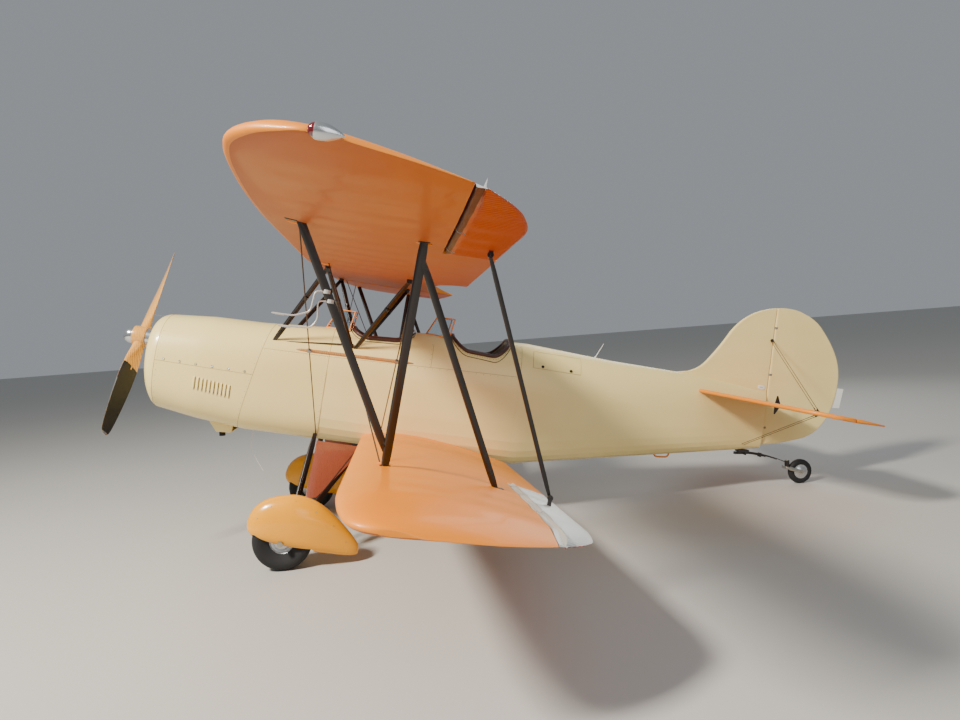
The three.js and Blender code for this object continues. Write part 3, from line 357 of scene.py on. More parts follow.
# Propeller: two blades carved from one laminated plank, varnished on the front, matt black on the back
# of each blade, with a bright metal strip let into the leading edge, bolted through a round boss.
# radius, chord, thickness, pitch angle in degrees
BLADE = [(0.03, 0.092, 0.092, 60), (0.11, 0.102, 0.074, 46), (0.24, 0.138, 0.046, 39),
         (0.45, 0.166, 0.027, 31), (0.70, 0.152, 0.016, 24), (0.88, 0.114, 0.009, 19.5),
         (0.915, 0.080, 0.007, 17), (0.925, 0.044, 0.005, 16)]
BLADE_X = 0.0129
BLADE_TURN = -34


def blade_point(radius, turn):
    chord, thick, pitch = between(BLADE, radius)
    t = 2 * pi * turn
    reach = chord / 2 * cos(t)
    # flat at the back and full at the front towards the leading edge, round near the boss
    flat = min(1, max(0, (radius - 0.12) / 0.2))
    deep = thick / 2 * sin(t) * (1 - flat * (0.35 if sin(t) > 0 else -0.2)) * (1 + flat * 0.25 * cos(t))
    a = radians(pitch)
    return Vector((BLADE_X + deep * cos(a) - reach * sin(a), reach * cos(a) + deep * sin(a), radius))


def wood_finish(name, light, dark, stretch, scale, gloss=0.22, rings=9.0, turn_way="X"):
    """Varnished wood: long grain drawn out by a stretched noise, darker lines between the growth bands."""
    material = finish(name, light, roughness=gloss, coat=0.6, shade=0.14, patch=2.4, grain_scale=160,
                      relief=0.05)
    tree = material.node_tree
    group = tree.nodes["aged"]
    place = add_node(tree, "TexCoord")
    mapping = add_node(tree, "Mapping", sockets={"Scale": stretch})
    wave = add_node(tree, "TexWave", bands_direction=turn_way, sockets={
        "Scale": scale, "Distortion": rings, "Detail": 3.0, "Detail Scale": 1.4, "Detail Roughness": 0.62})
    streak = add_node(tree, "TexNoise", sockets={"Scale": scale * 6, "Detail": 4.0, "Roughness": 0.7})
    blend = add_node(tree, "Math", operation="MULTIPLY_ADD", sockets={1: 0.55})
    ramp = add_node(tree, "ValToRGB")
    ramp.color_ramp.elements[0].position = 0.25
    ramp.color_ramp.elements[0].color = linear(dark)
    ramp.color_ramp.elements[1].position = 0.85
    ramp.color_ramp.elements[1].color = linear(light)
    wire(tree, (place.outputs["Object"], mapping.inputs["Vector"]),
         (mapping.outputs["Vector"], wave.inputs["Vector"]),
         (mapping.outputs["Vector"], streak.inputs["Vector"]), (wave.outputs["Fac"], blend.inputs[0]),
         (streak.outputs["Fac"], blend.inputs[2]), (blend.outputs[0], ramp.inputs["Fac"]),
         (ramp.outputs["Color"], group.inputs["Paint"]))
    return material


propeller_wood = wood_finish("laminated_propeller_wood", "#e3a850", "#b0692a", (1, 1, 1), 26, gloss=0.2,
                             rings=3.0)
propeller_black = finish("propeller_back_black", "#16171a", 0.5, shade=0.3, relief=0.12)
propeller_strip = finish("leading_edge_metal", "#c3c5c4", 0.28, metallic=0.9, shade=0.15)
blade_stations = steps(0.03, 0.24, 0.0175) + steps(0.24, 0.9, 0.03)[1:] + [0.908, 0.915, 0.921, 0.925]
blade = draw_out(blade_stations, blade_point, 40)
paint_line, paint_way = Vector((0, 0, 0.30)), Vector((0, 0.30, 1)).normalized()
bmesh.ops.bisect_plane(blade, geom=blade.verts[:] + blade.edges[:] + blade.faces[:], plane_co=paint_line,
                       plane_no=paint_way)
turn_layer = blade.verts.layers.float["turn"]
along_layer = blade.verts.layers.float["along"]
for face in blade.faces:
    if len(face.verts) > 4:
        face.material_index = 2 if face.calc_center_median().z > 0.5 else 0
        continue
    turns = [vert[turn_layer] for vert in face.verts]
    if max(turns) >= 0.9:
        turns = [turn if turn > 0 else 1 for turn in turns]
    angle = 2 * pi * sum(turns) / len(turns)
    reach = sum(vert[along_layer] for vert in face.verts) / len(face.verts)
    # the painted back starts at a slanting line, further out at the leading edge
    if sin(angle) > 0.02 and (face.calc_center_median() - paint_line).dot(paint_way) > 0:
        face.material_index = 1
    if cos(angle) > 0.93 and reach > 0.45 or reach > 0.905:
        face.material_index = 2
second = blade.copy()
bmesh.ops.rotate(second, verts=second.verts, cent=(0, 0, 0), matrix=Matrix.Rotation(pi, 3, "X"))
boss = turned([(0, -0.052), (0.078, -0.052), (0.086, -0.046), (0.088, -0.03), (0.088, 0.045),
               (0.082, 0.058), (0.078, 0.06), (0, 0.06)], 64, axis="X")
plank = carve(blade, [boss], "UNION")
plank = carve(plank, [second], "UNION")
settle(plank, "propeller_blades", [propeller_wood, propeller_black, propeller_strip], "propeller",
       "propeller", BODY @ Matrix.Rotation(radians(BLADE_TURN), 4, "X"), crease=40)

# Spinner: a small spun dome of polished aluminium over the propeller boss
polished = finish("polished_spinner", "#d9dbdc", 0.2, metallic=0.95, shade=0.1, patch=9, grain_scale=300,
                  relief=0.04)
dome_rows = [(0, -0.1345), (0.012, -0.1340), (0.024, -0.1318), (0.035, -0.1275), (0.045, -0.1210),
             (0.054, -0.1120), (0.061, -0.1010), (0.066, -0.0880), (0.0685, -0.0740), (0.0695, -0.0600),
             (0.0695, -0.0525), (0, -0.0525)]
settle(turned(dome_rows, 72, axis="X"), "spinner_dome", polished, "propeller",
       "spinner")

# Nose bowl: one piece of formed sheet with rolled inlets either side of the shaft, painted cream
# x, half width, top, shoulder, bottom, roundness of the top and of the bottom
FRAMES = [(0.205, 0.400, 0.226, -0.130, -0.550, 2.3, 2.6), (0.600, 0.424, 0.268, -0.140, -0.604, 2.4, 3.0),
          (1.000, 0.420, 0.284, -0.130, -0.634, 2.6, 3.4), (1.620, 0.396, 0.342, -0.110, -0.622, 2.8, 4.2),
          (2.300, 0.384, 0.412, -0.090, -0.615, 2.8, 4.6), (3.300, 0.332, 0.474, -0.040, -0.600, 2.5, 4.6),
          (4.100, 0.242, 0.446, 0.020, -0.446, 2.3, 4.2), (4.900, 0.148, 0.446, 0.070, -0.290, 2.1, 3.6),
          (5.700, 0.036, 0.396, 0.120, -0.130, 2.0, 3.0)]
BOWL_SEAM = 0.265


def frame_at(x):
    i = max(0, min(len(FRAMES) - 2, sum(1 for row in FRAMES if row[0] <= x) - 1))
    t = (x - FRAMES[i][0]) / (FRAMES[i + 1][0] - FRAMES[i][0])
    return [a + t * (b - a) for a, b in zip(FRAMES[i], FRAMES[i + 1])]


def hull_point(x, turn, inset=0.0):
    """A point on the fuselage section at x; turn 0 is starboard, 0.25 the top."""
    _, half, top, shoulder, bottom, top_power, bottom_power = frame_at(x)
    c, s = cos(2 * pi * turn), sin(2 * pi * turn)
    power = 2 / (top_power if s > 0 else bottom_power)
    reach = top - shoulder if s > 0 else shoulder - bottom
    return Vector((x, (half - inset) * copysign(abs(c) ** power, c),
                   shoulder + (reach - inset) * copysign(abs(s) ** power, s)))


cream = finish("cream_enamel", "#f4dd92", 0.34, coat=0.35, shade=0.07, patch=1.6, grain_scale=90,
               relief=0.05)
cream_fabric = finish("cream_doped_fabric", "#f3dc94", 0.42, coat=0.15, shade=0.09, patch=1.4,
                      grain_scale=420, relief=0.10)
BOWL = [(0.1500, 0.500), (0.1506, 0.585), (0.1535, 0.675), (0.158, 0.750), (0.166, 0.812), (0.176, 0.864),
        (0.188, 0.905), (0.204, 0.942), (0.222, 0.970), (0.243, 0.990), (BOWL_SEAM, 1.0)]
CHIN_FROM, CHIN_DROP, CHIN_LEAN = -0.090, 0.460, 0.070


def bowl_point(x, turn, inset=0.0):
    x_ring = x + inset if x < BOWL_SEAM else x + 0.001 * (inset > 0)
    scale = next(row[1] for row in BOWL if abs(row[0] - x) < 1e-6)
    point = hull_point(BOWL_SEAM, turn, inset)
    z = CHIN_FROM + (point.z - CHIN_FROM) * scale
    forward = max(0, (BOWL_SEAM - x_ring) / (BOWL_SEAM - BOWL[0][0]))
    lean = CHIN_LEAN * (max(0, CHIN_FROM - z) / CHIN_DROP) ** 2
    return Vector((x_ring + lean * forward, point.y * scale, z))


def ball(centre, radii, around=12, rings=6, place=Matrix()):
    """An ellipsoid with its own three radii."""
    bm = bmesh.new()
    bmesh.ops.create_uvsphere(bm, u_segments=around, v_segments=rings, radius=1)
    matrix = place @ Matrix.Translation(centre) @ Matrix.Diagonal((*radii, 1))
    bmesh.ops.transform(bm, matrix=matrix, verts=bm.verts)
    return bm


bowl_stations = [row[0] for row in BOWL]
bowl = draw_out(bowl_stations, bowl_point, 144)
bowl_inside = draw_out(bowl_stations, lambda x, turn: bowl_point(x, turn, 0.006), 144)
shaft_hole = rod((0.10, 0, 0), (0.205, 0, 0), 0.095, 64)
inlets = [ball((0.165, y, -0.060), (0.070, 0.105, 0.058), 48, 24) for y in (-0.215, 0.215)]
nose = carve(bowl, [bowl_inside, shaft_hole] + inlets)
settle(nose, "nose_bowl_shell", cream, "airframe", "nose_bowl", crease=50)

# Cowling: upper and lower shells of aluminium sheet, closed along a level seam by quarter-turn
# fasteners; the lower one has pressed louvres and an outlet lip under the engine.
SPLIT_Z = -0.140
FIREWALL_X, FIREWALL_RAKE = 1.068, radians(10.5)
GAP = 0.0006


def firewall_x(z):
    return FIREWALL_X + z * tan(FIREWALL_RAKE)


def at_firewall(start, stop, shift=0.0):
    """A cutter between two distances aft of the raked firewall."""
    cutter = block((start, -1, -2), (stop, 1, 2))
    place = Matrix.Translation((FIREWALL_X + shift, 0, 0)) @ Matrix.Rotation(FIREWALL_RAKE, 4, "Y")
    bmesh.ops.transform(cutter, matrix=place, verts=cutter.verts)
    return cutter


cowl_stations = steps(BOWL_SEAM + GAP, 0.6, 0.055) + steps(0.6, 1.25, 0.055)[1:]


def cowl_shell(low, high):
    """The cowling's sheet, less what lies between two heights."""
    inside_stations = [BOWL_SEAM - 0.01] + cowl_stations[1:-1] + [1.26]
    inside = draw_out(inside_stations, lambda x, turn: hull_point(x, turn, 0.004), 144)
    return carve(draw_out(cowl_stations, hull_point, 144),
                 [inside, at_firewall(0, 3, -GAP), block((0, -1, low), (2, 1, high))])


settle(cowl_shell(-2, SPLIT_Z + GAP), "cowl_top", cream, "airframe", "cowl_upper")
lower_shell = cowl_shell(SPLIT_Z - GAP, 2)


def plate_of(outline, depth):
    """A flat outline drawn out along a vector into a solid."""
    bm = bmesh.new()
    face = bm.faces.new([bm.verts.new(point) for point in outline])
    drawn = bmesh.ops.extrude_face_region(bm, geom=[face])["geom"]
    bmesh.ops.translate(bm, verts=[item for item in drawn if isinstance(item, bmesh.types.BMVert)],
                        vec=depth)
    bmesh.ops.recalc_face_normals(bm, faces=bm.faces)
    return bm


def side_plate(outline, half, edge=0.006):
    """A solid between two upright sides whose outline is given in x and z."""
    bm = plate_of([(x, -half, z) for x, z in outline], (0, 2 * half, 0))
    if edge:
        bmesh.ops.bevel(bm, geom=bm.edges[:], offset=edge, segments=3, profile=0.5, affect="EDGES",
                        material=-1)
    return bm


lip = side_plate([(0.690, -0.598), (0.900, -0.608), (0.893, -0.682), (0.765, -0.690)], 0.150, 0.010)
duct = side_plate([(0.735, -0.540), (0.912, -0.540), (0.912, -0.669), (0.788, -0.676)], 0.141, 0.004)
pipe_hole = rod((0.780, -0.060, -0.590), (0.810, -0.060, -0.742), 0.034, 40)
settle(carve(carve(lower_shell, [lip], "UNION"), [duct, pipe_hole]), "cowl_bottom", cream, "airframe",
       "cowl_lower")

# Engine: the one solid block of the drawing stays, and takes a sooty cast finish
soot = finish("sooty_casting", "#1b1a19", 0.62, metallic=0.3, shade=0.4, patch=9, grain_scale=240,
              relief=0.4)

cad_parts["engine"].material_slots[0].material = soot
flange = turned([(0.030, 0.0612), (0.0805, 0.0612), (0.0830, 0.0635), (0.0830, 0.1075), (0.0805, 0.1102),
                 (0.046, 0.1102), (0.0455, 0.150), (0.030, 0.150)], 72, axis="X")
studs = [rod((0.1095, 0.064 * cos(pi * i / 3), 0.064 * sin(pi * i / 3)),
             (0.1165, 0.064 * cos(pi * i / 3), 0.064 * sin(pi * i / 3)), 0.0085, 6)
         for i in range(6)]
settle([flange, *studs], "propeller_flange", polished, "airframe", crease=40)

# Fuselage: sheet metal panels to the second seam, then doped fabric over a tube frame. Stringers under
# the fabric give the lower half its long flats; the upper half is a smooth formed deck.
PANEL_SEAM_X, TAIL_CONE_X, STERN_X = 1.620, 3.240, 5.700
HULL_CORNERS = 28
TAIL_NOSE, RUN_GAP = 0.017, 0.005
RUDDER_X, RUDDER_TILT = 5.672, radians(2.7)


def skin_top(x, y):
    _, half, top, shoulder, _, power, _ = frame_at(x)
    return shoulder + (top - shoulder) * max(0.0, 1 - min(1, abs(y) / half) ** power) ** (1 / power)


def skin_side(x, z):
    """Half the width of the fuselage at a place and height."""
    _, half, top, shoulder, bottom, top_power, bottom_power = frame_at(x)
    reach, power = (top - shoulder, top_power) if z > shoulder else (shoulder - bottom, bottom_power)
    return half * max(0.0, 1 - min(1, abs(z - shoulder) / reach) ** power) ** (1 / power)


def fabric_point(x, turn, inset=0.0):
    """The skin over the stringers: flats between the corners of the lower half."""
    spot = turn * HULL_CORNERS - 0.5
    low = int(spot // 1)
    share = spot - low
    if 0 <= spot <= HULL_CORNERS / 2 - 1:
        return hull_point(x, turn, inset)
    a = hull_point(x, (low + 0.5) / HULL_CORNERS, inset)
    b = hull_point(x, (low + 1.5) / HULL_CORNERS, inset)
    return a.lerp(b, share)


tank_stations = steps(0.9, 1.0, 0.05) + steps(1.0, PANEL_SEAM_X - GAP, 0.062)[1:]
tank = carve(draw_out(tank_stations, hull_point, 168), [block((-1, -1, -2), (0.905, 1, 2))])
settle(carve(tank, [at_firewall(-3, 0)]), "forward_panels", cream, "airframe", "tank_bay")

COCKPITS = {"front": (1.780, 2.270, 0.275), "rear": (2.640, 3.110, 0.275)}
MOUTH_CORNER = 0.150
FLOOR_Z = -0.540


def mouth_outline(cockpit, grow=0.0, corner_points=12):
    """The cockpit mouth seen from above, going round from its front port corner."""
    front, back, half = COCKPITS[cockpit]
    front, back, half = front - grow, back + grow, half + grow
    points = []
    for cx, cy, start in ((back, -half, -pi / 2), (back, half, 0), (front, half, pi / 2),
                          (front, -half, pi)):
        mid = (cx - copysign(MOUTH_CORNER, cx - (front + back) / 2), cy - copysign(MOUTH_CORNER, cy))
        for i in range(corner_points + 1):
            angle = start + pi / 2 * i / corner_points
            points.append((mid[0] + MOUTH_CORNER * cos(angle), mid[1] + MOUTH_CORNER * sin(angle)))
    return points


def upright_prism(outline, low, high):
    return plate_of([(x, y, low) for x, y in outline], (0, 0, high - low))


cabin_stations = steps(PANEL_SEAM_X, 2.3, 0.04) + steps(2.3, TAIL_CONE_X - GAP, 0.04)[1:]
cabin = draw_out(cabin_stations, fabric_point, 224)
room_stations = steps(PANEL_SEAM_X + 0.022, 2.3, 0.1) + steps(2.3, 3.17, 0.1)[1:]
room = carve(draw_out(room_stations, lambda x, turn: hull_point(x, turn, 0.014), 112),
             [block((1, -1, -2), (4, 1, FLOOR_Z))])
mouths = [upright_prism(mouth_outline(cockpit), 0, 0.7) for cockpit in COCKPITS]
for inside in [room] + mouths:
    for face in inside.faces:
        face.material_index = 1
shell = carve(cabin, [room])
for front, _, _ in COCKPITS.values():
    bulkhead = draw_out([front - 0.040, front - 0.020], lambda x, turn: hull_point(x, turn, 0.012), 112)
    shell = carve(shell, [carve(bulkhead, [block((1, -1, -2), (4, 1, 0.020))])], "UNION")
shell = carve(shell, mouths)
cabin_lining = finish("cabin_lining", "#8d8672", 0.6, shade=0.2, patch=6, grain_scale=200, relief=0.15)
settle(shell, "cabin_skin", [cream_fabric, cabin_lining], "airframe", "fuselage", crease=7)

# Tail cone: the same fabric skin aft of the cockpits, closed at the sternpost, with the baggage hatch's
# opening in its port side and a lifting handle under it
HATCH = (3.340, 3.785, 0.275, 0.418)
HATCH_THICK = 0.014
cone_stations = steps(TAIL_CONE_X, 3.3, 0.03)
for start, stop, pitch in ((3.3, 4.1, 0.04), (4.1, 4.9, 0.05), (4.9, STERN_X, 0.05)):
    cone_stations += steps(start, stop, pitch)[1:]


def aft_of_post(gap):
    cutter = block((0, -1, -3), (2, 1, 3))
    post = Matrix.Translation((RUDDER_X, 0, 0)) @ Matrix.Rotation(-RUDDER_TILT, 4, "Y")
    bmesh.ops.transform(cutter, matrix=post @ Matrix.Translation((gap, 0, 0)), verts=cutter.verts)
    return cutter


def ring_between(x0, x1, inset):
    return draw_out(steps(x0, x1, 0.08), lambda x, turn: hull_point(x, turn, inset), 168)


hatch_x0, hatch_x1, hatch_z0, hatch_z1 = HATCH
pocket = carve(block((hatch_x0, -0.6, hatch_z0), (hatch_x1, 0, hatch_z1)),
               [ring_between(3.3, 4.1, HATCH_THICK + 0.004)])
bay = carve(ring_between(3.3, 4.1, 0.022),
            [block((hatch_x0 + 0.025, -0.6, hatch_z0 - 0.240), (hatch_x1 - 0.025, 0.120, hatch_z1 + 0.2))],
            "INTERSECT")
bay_mouth = block((hatch_x0 + 0.025, -0.6, hatch_z0 + 0.020), (hatch_x1 - 0.025, -0.060, hatch_z1 - 0.020))
cone = carve(draw_out(cone_stations, fabric_point, 224),
             [aft_of_post(-TAIL_NOSE - RUN_GAP), pocket, bay, bay_mouth])
settle(cone, "tail_cone_skin", cream_fabric, "airframe", "tail_cone", crease=7)
door = carve(ring_between(3.3, 4.1, 0), [ring_between(3.25, 4.15, HATCH_THICK)])
# the door's upper edge is square to the sloping skin, just inside its hinge line, so that it turns clear
hinge_line = Vector((hatch_x0, -skin_side(hatch_x0, hatch_z1) - 0.004, hatch_z1 - GAP))
taper = skin_side(hatch_x0, hatch_z1) - skin_side(hatch_x1, hatch_z1)
spread = skin_side(hatch_x0, hatch_z1 - 0.030) - skin_side(hatch_x0, hatch_z1)
below_edge = block((-0.2, -0.4, -0.4), (0.8, 0.4, 0))
along_skin = Matrix.Rotation(atan2(taper, hatch_x1 - hatch_x0), 4, "Z")
across_skin = Matrix.Rotation(-atan2(spread, 0.030), 4, "X")
bmesh.ops.transform(below_edge, matrix=Matrix.Translation(hinge_line) @ along_skin @ across_skin,
                    verts=below_edge.verts)
door_cut = block((hatch_x0 + 0.003, -0.6, hatch_z0 + 0.003), (hatch_x1 - 0.003, 0, hatch_z1 - GAP))
door = carve(door, [door_cut, below_edge], "INTERSECT")
settle(door, "baggage_hatch_door", cream, "baggage_hatch", "baggage_hatch")

# Wings: wooden spars and ribs under doped fabric. The fabric sags a little between the ribs, the tips are
# bent bows, and the bay for each aileron is cut out of the outer trailing edge.
AIRFOIL_ROOT_GAP = 0.0034
WING_INCIDENCE = radians(1.5)
RIB_PITCH = 0.290
UPPER = {"x": 1.325, "z": 0.870, "root": 0.720, "chord": 1.300, "dihedral": radians(1.6), "aileron": 2.400,
         "hinge": 0.795, "plan": [
             (2.50, 0, 1), (3.0, 0.018, 1), (3.376, 0.042, 0.995), (3.661, 0.068, 0.944),
             (3.801, 0.088, 0.894), (3.909, 0.11, 0.838), (3.994, 0.141, 0.783), (4.05, 0.173, 0.71),
             (4.103, 0.21, 0.616), (4.164, 0.283, 0.47), (4.196, 0.345, 0.375)]}
LOWER = {"x": 1.980, "z": -0.537, "root": 0.330, "chord": 1.240, "dihedral": radians(3.1), "aileron": 1.950,
         "hinge": 0.823, "plan": [
             (3.0, 0, 1), (3.162, 0.004, 0.98), (3.278, 0.012, 0.947), (3.408, 0.024, 0.847),
             (3.513, 0.04, 0.714), (3.614, 0.063, 0.557), (3.672, 0.1, 0.413), (3.704, 0.175, 0.29)]}
AILERON_NOSE, AILERON_NOSE_Z = 0.036, 0.015


def wing_place(wing, side):
    return (BODY @ Matrix.Translation((wing["x"], side * wing["root"], wing["z"]))
            @ Matrix.Rotation(side * wing["dihedral"], 4, "X") @ Matrix.Rotation(WING_INCIDENCE, 4, "Y"))


def on_wing(wing, side, fraction, y, z=0.0):
    """A point of a wing in the aircraft's frame, by its chord fraction and half-span place."""
    spot = Vector((wing["chord"] * fraction, side * (y - wing["root"]), z))
    return BODY.inverted() @ wing_place(wing, side) @ spot


def tip_angle(wing, y):
    """How far round the bent tip a half-span place lies, from 0 where the bend starts to a right angle."""
    start, end = wing["plan"][0][0], wing["plan"][-1][0]
    return asin(max(0, min(1, (y - start) / (end - start))))


def edges_at(wing, y):
    rows = [(tip_angle(wing, half_span), lead, trail) for half_span, lead, trail in wing["plan"]]
    if y <= wing["plan"][0][0]:
        return 0.0, 1.0
    lead, trail = between(rows, min(tip_angle(wing, y), rows[-1][0] - 1e-6))
    return lead, trail


def airfoil(s, upper):
    s = min(1, max(0, s))
    half = 0.6 * (0.2969 * sqrt(s) - 0.126 * s - 0.3516 * s ** 2 + 0.2843 * s ** 3 - 0.1015 * s ** 4)
    camber = 0.125 * (0.8 * s - s ** 2) if s < 0.4 else 0.0556 * (0.2 + 0.8 * s - s ** 2)
    return camber, half if upper else -half


def rib_sag(wing, y, s):
    """The fabric dips between ribs behind the stiff nose of the wing."""
    wave = 0.5 - 0.5 * cos(2 * pi * (y - wing["root"]) / RIB_PITCH)
    window = min(1, max(0, (s - 0.13) / 0.1)) * min(1, max(0, (0.97 - s) / 0.1))
    return 0.0048 * wave * window


def wing_height(wing, y, s, upper):
    lead, trail = edges_at(wing, y)
    length = trail - lead
    camber, half = airfoil(s, upper)
    fullness = min(1.0, length) ** 0.82
    sag = rib_sag(wing, y, s) * length
    return wing["chord"] * (length * camber + fullness * half) + (-sag if upper else sag)


def wing_point(wing, side):
    def place(y, turn):
        upper = turn <= 0.5
        angle = 2 * pi * turn
        s = (1 + cos(angle)) / 2
        lead, trail = edges_at(wing, y)
        return Vector((wing["chord"] * (lead + (trail - lead) * s), side * (y - wing["root"]),
                       wing_height(wing, y, s, upper)))
    return place


def wing_stations(wing, start):
    """Half-span places: even over the straight part, closing up round the tip."""
    first, last = wing["plan"][0][0], wing["plan"][-1][0]
    round_the_tip = [first + (last - first) * sin(pi / 2 * i / 34) for i in range(1, 35)]
    return steps(start, first, RIB_PITCH / 6) + round_the_tip


orange_top = finish("orange_doped_fabric", "#ee8a00", 0.46, coat=0.12, shade=0.10, patch=1.2,
                    grain_scale=420, relief=0.08)
# The cove face behind each aileron bay and the aileron's nose in the gap take a dark maroon: painted shade in
# the gap.
cove_painted_shade = finish("aileron_cove_painted_shade", "#4a1a12", 0.5, shade=0.2, relief=0.1)
silver_dope = finish("silver_doped_metal", "#c8cac6", 0.38, metallic=0.55, shade=0.12, patch=5,
                     grain_scale=260, relief=0.08)
# The wings' undersides take a deeper, browner coat of the same orange: painted shade, the real fabric being
# one orange on both sides.
underside_painted_shade = finish("orange_underside_painted_shade", "#b45a06", 0.5, coat=0.08, shade=0.14, patch=1.2,
                      grain_scale=420, relief=0.08)
# The ailerons' lower skins are orange; this redder, darker orange adds painted shade to it.
aileron_underside_painted_shade = finish("aileron_underside_orange_painted_shade", "#a83c00", 0.45, coat=0.12, shade=0.14, patch=5,
                      grain_scale=260, relief=0.08)
RING = 96


def hinge_parts(y, reach):
    """A fixed hinge eye on its arm."""
    arm = block((-reach, y - 0.0045, -0.008), (0, y + 0.0045, 0.008), 0.001, 1)
    eye = rod((0, y - 0.0045, 0), (0, y + 0.0045, 0), 0.0125, 24)
    return join_meshes(arm, eye)


def hinge_notch(y, reach):
    return block((-reach, y - 0.010, -0.08), (0.018, y + 0.010, 0.08))


def pin(y):
    """The pin that the moving piece turns on."""
    return rod((0, y - 0.0125, 0), (0, y + 0.0125, 0), 0.0048, 16)


def hinge_spots(wing, side):
    straight = 3.300 if wing is UPPER else 3.100
    return [side * (wing["aileron"] - wing["root"] + (straight - wing["aileron"]) * t) for t in (0.12, 0.8)]


def bay_box(wing, side):
    hinge_x = wing["chord"] * wing["hinge"]
    inboard = side * (wing["aileron"] - wing["root"] - RUN_GAP)
    outer = side * (wing["plan"][-1][0] - wing["root"] + 0.1)
    low_y, high_y = sorted((inboard, outer))
    return block((hinge_x - AILERON_NOSE - RUN_GAP, low_y, -0.3), (2, high_y, 0.3))


def aileron_shape(wing, side):
    """Nose arc, then the ridged upper and lower skins of thin sheet back to the trailing edge."""
    hinge_x = wing["chord"] * wing["hinge"]
    ridge_pitch, ridge_depth = 0.028, 0.0036

    def place(y, turn):
        lead, trail = edges_at(wing, y)
        length = trail - lead
        end_x = max(wing["chord"] * trail, hinge_x + 0.004)
        y_local = side * (y - wing["root"])
        ridge = ridge_depth * (abs(sin(pi * (y - wing["aileron"]) / ridge_pitch)) - 0.5)
        if turn < 0.3:
            angle = pi / 2 + pi * (1 - turn / 0.3)
            x = hinge_x + AILERON_NOSE * cos(angle)
            s = (x / wing["chord"] - lead) / max(length, 1e-4)
            low, high = wing_height(wing, y, s, False) + 0.001, wing_height(wing, y, s, True) - 0.001
            return Vector((x, y_local, max(low, min(high, AILERON_NOSE_Z + AILERON_NOSE * sin(angle)))))
        upper = turn < 0.65
        t = (turn - 0.3) / 0.35 if upper else 1 - (turn - 0.65) / 0.35
        x = hinge_x + (end_x - hinge_x) * t
        s = (x / wing["chord"] - lead) / max(length, 1e-4)
        z = wing_height(wing, y, s, upper)
        limit = AILERON_NOSE_Z + (AILERON_NOSE if upper else -AILERON_NOSE)
        blend = min(1, t / 0.12)
        z = limit * (1 - blend) + z * blend if (z > limit) != upper else z
        fade = min(1, t / 0.08) * min(1, (1 - t) / 0.04)
        return Vector((x, y_local, z + (ridge if upper else -ridge) * fade))
    return place


def aileron_stations(wing):
    hinge_fraction = wing["hinge"]
    end = wing["aileron"]
    while edges_at(wing, end)[1] > hinge_fraction + 0.006:
        end += 0.002
    return steps(wing["aileron"], end, 0.028 / 6)


SIDES = (("port", -1), ("starboard", 1))
for side_name, side in SIDES:
    for level_name, wing in (("upper", UPPER), ("lower", LOWER)):
        stations = wing_stations(wing, wing["root"] + AIRFOIL_ROOT_GAP)
        panel = carve(draw_out(stations, wing_point(wing, side), RING), [bay_box(wing, side)])
        cove_x = wing["chord"] * wing["hinge"] - AILERON_NOSE - RUN_GAP
        turn_layer = panel.verts.layers.float["turn"]
        # the cove face takes the maroon of painted shade, and the underside faces the deeper orange of
        # painted shade
        for face in panel.faces:
            middle = face.calc_center_median()
            if abs(middle.x - cove_x) < 1e-4 and abs(face.normal.x) > 0.9:
                face.material_index = 1
            elif face.normal.z < -0.2 and max(vert[turn_layer] for vert in face.verts) > 0.56:
                face.material_index = 2
        settle(panel, f"{level_name}_wing_{side_name}_panel", [orange_top, cove_painted_shade, underside_painted_shade], "airframe",
               f"{level_name}_wing_{side_name}", wing_place(wing, side), crease=30)
        flap = draw_out(aileron_stations(wing), aileron_shape(wing, side), 48)
        turn_layer = flap.verts.layers.float["turn"]
        # the lower front of the nose arc takes the cove's painted shade, and the lower skin the redder orange
        # of painted shade
        for face in flap.faces:
            turns = [vert[turn_layer] for vert in face.verts]
            mean = sum(turns) / len(turns) if max(turns) - min(turns) < 0.5 else 0.99
            face.material_index = 2 if mean < 0.14 else 0 if mean < 0.65 else 1
            if len(face.verts) > 4:
                face.material_index = 0
        notches = []
        for y in hinge_spots(wing, side):
            notch_box = hinge_notch(y, AILERON_NOSE + 0.02)
            bmesh.ops.translate(notch_box, verts=notch_box.verts,
                                vec=(wing["chord"] * wing["hinge"], 0, AILERON_NOSE_Z))
            notches.append(notch_box)
        flap = carve(flap, notches)
        settle(flap, f"{level_name}_aileron_{side_name}_skin", [silver_dope, aileron_underside_painted_shade, cove_painted_shade],
               f"{level_name}_aileron_{side_name}", f"{level_name}_aileron_{side_name}",
               wing_place(wing, side), crease=24)

# Centre section: the fixed middle of the upper wing, notched over the front seat
centre_place = wing_place({**UPPER, "root": 0, "dihedral": 0}, 1)
half_centre = UPPER["root"] - GAP
notch = [(1.310, -0.730)]
for low, high, bend in (((1.310, -0.730), (1.115, -0.450), (1.115, -0.640)),
                        ((1.115, -0.450), (1.010, 0), (1.010, -0.200)),
                        ((1.010, 0), (1.115, 0.450), (1.010, 0.200)),
                        ((1.115, 0.450), (1.310, 0.730), (1.115, 0.640))):
    for i in range(1, 9):
        t = i / 8
        notch.append(tuple((1 - t) ** 2 * low[k] + 2 * t * (1 - t) * bend[k] + t ** 2 * high[k]
                           for k in (0, 1)))
notch += [(1.500, 0.730), (1.500, -0.730)]
span = draw_out(steps(-half_centre, half_centre, RIB_PITCH / 6),
                wing_point({**UPPER, "root": 0}, 1), RING)
span = carve(span, [upright_prism(notch, -0.3, 0.3)])
turn_layer = span.verts.layers.float["turn"]
# the underside faces take the deeper orange of painted shade
for face in span.faces:
    if face.normal.z < -0.2 and max(vert[turn_layer] for vert in face.verts) > 0.56:
        face.material_index = 1
settle(span, "centre_section_panel", [orange_top, underside_painted_shade], "airframe",
       "centre_section", centre_place, crease=30)

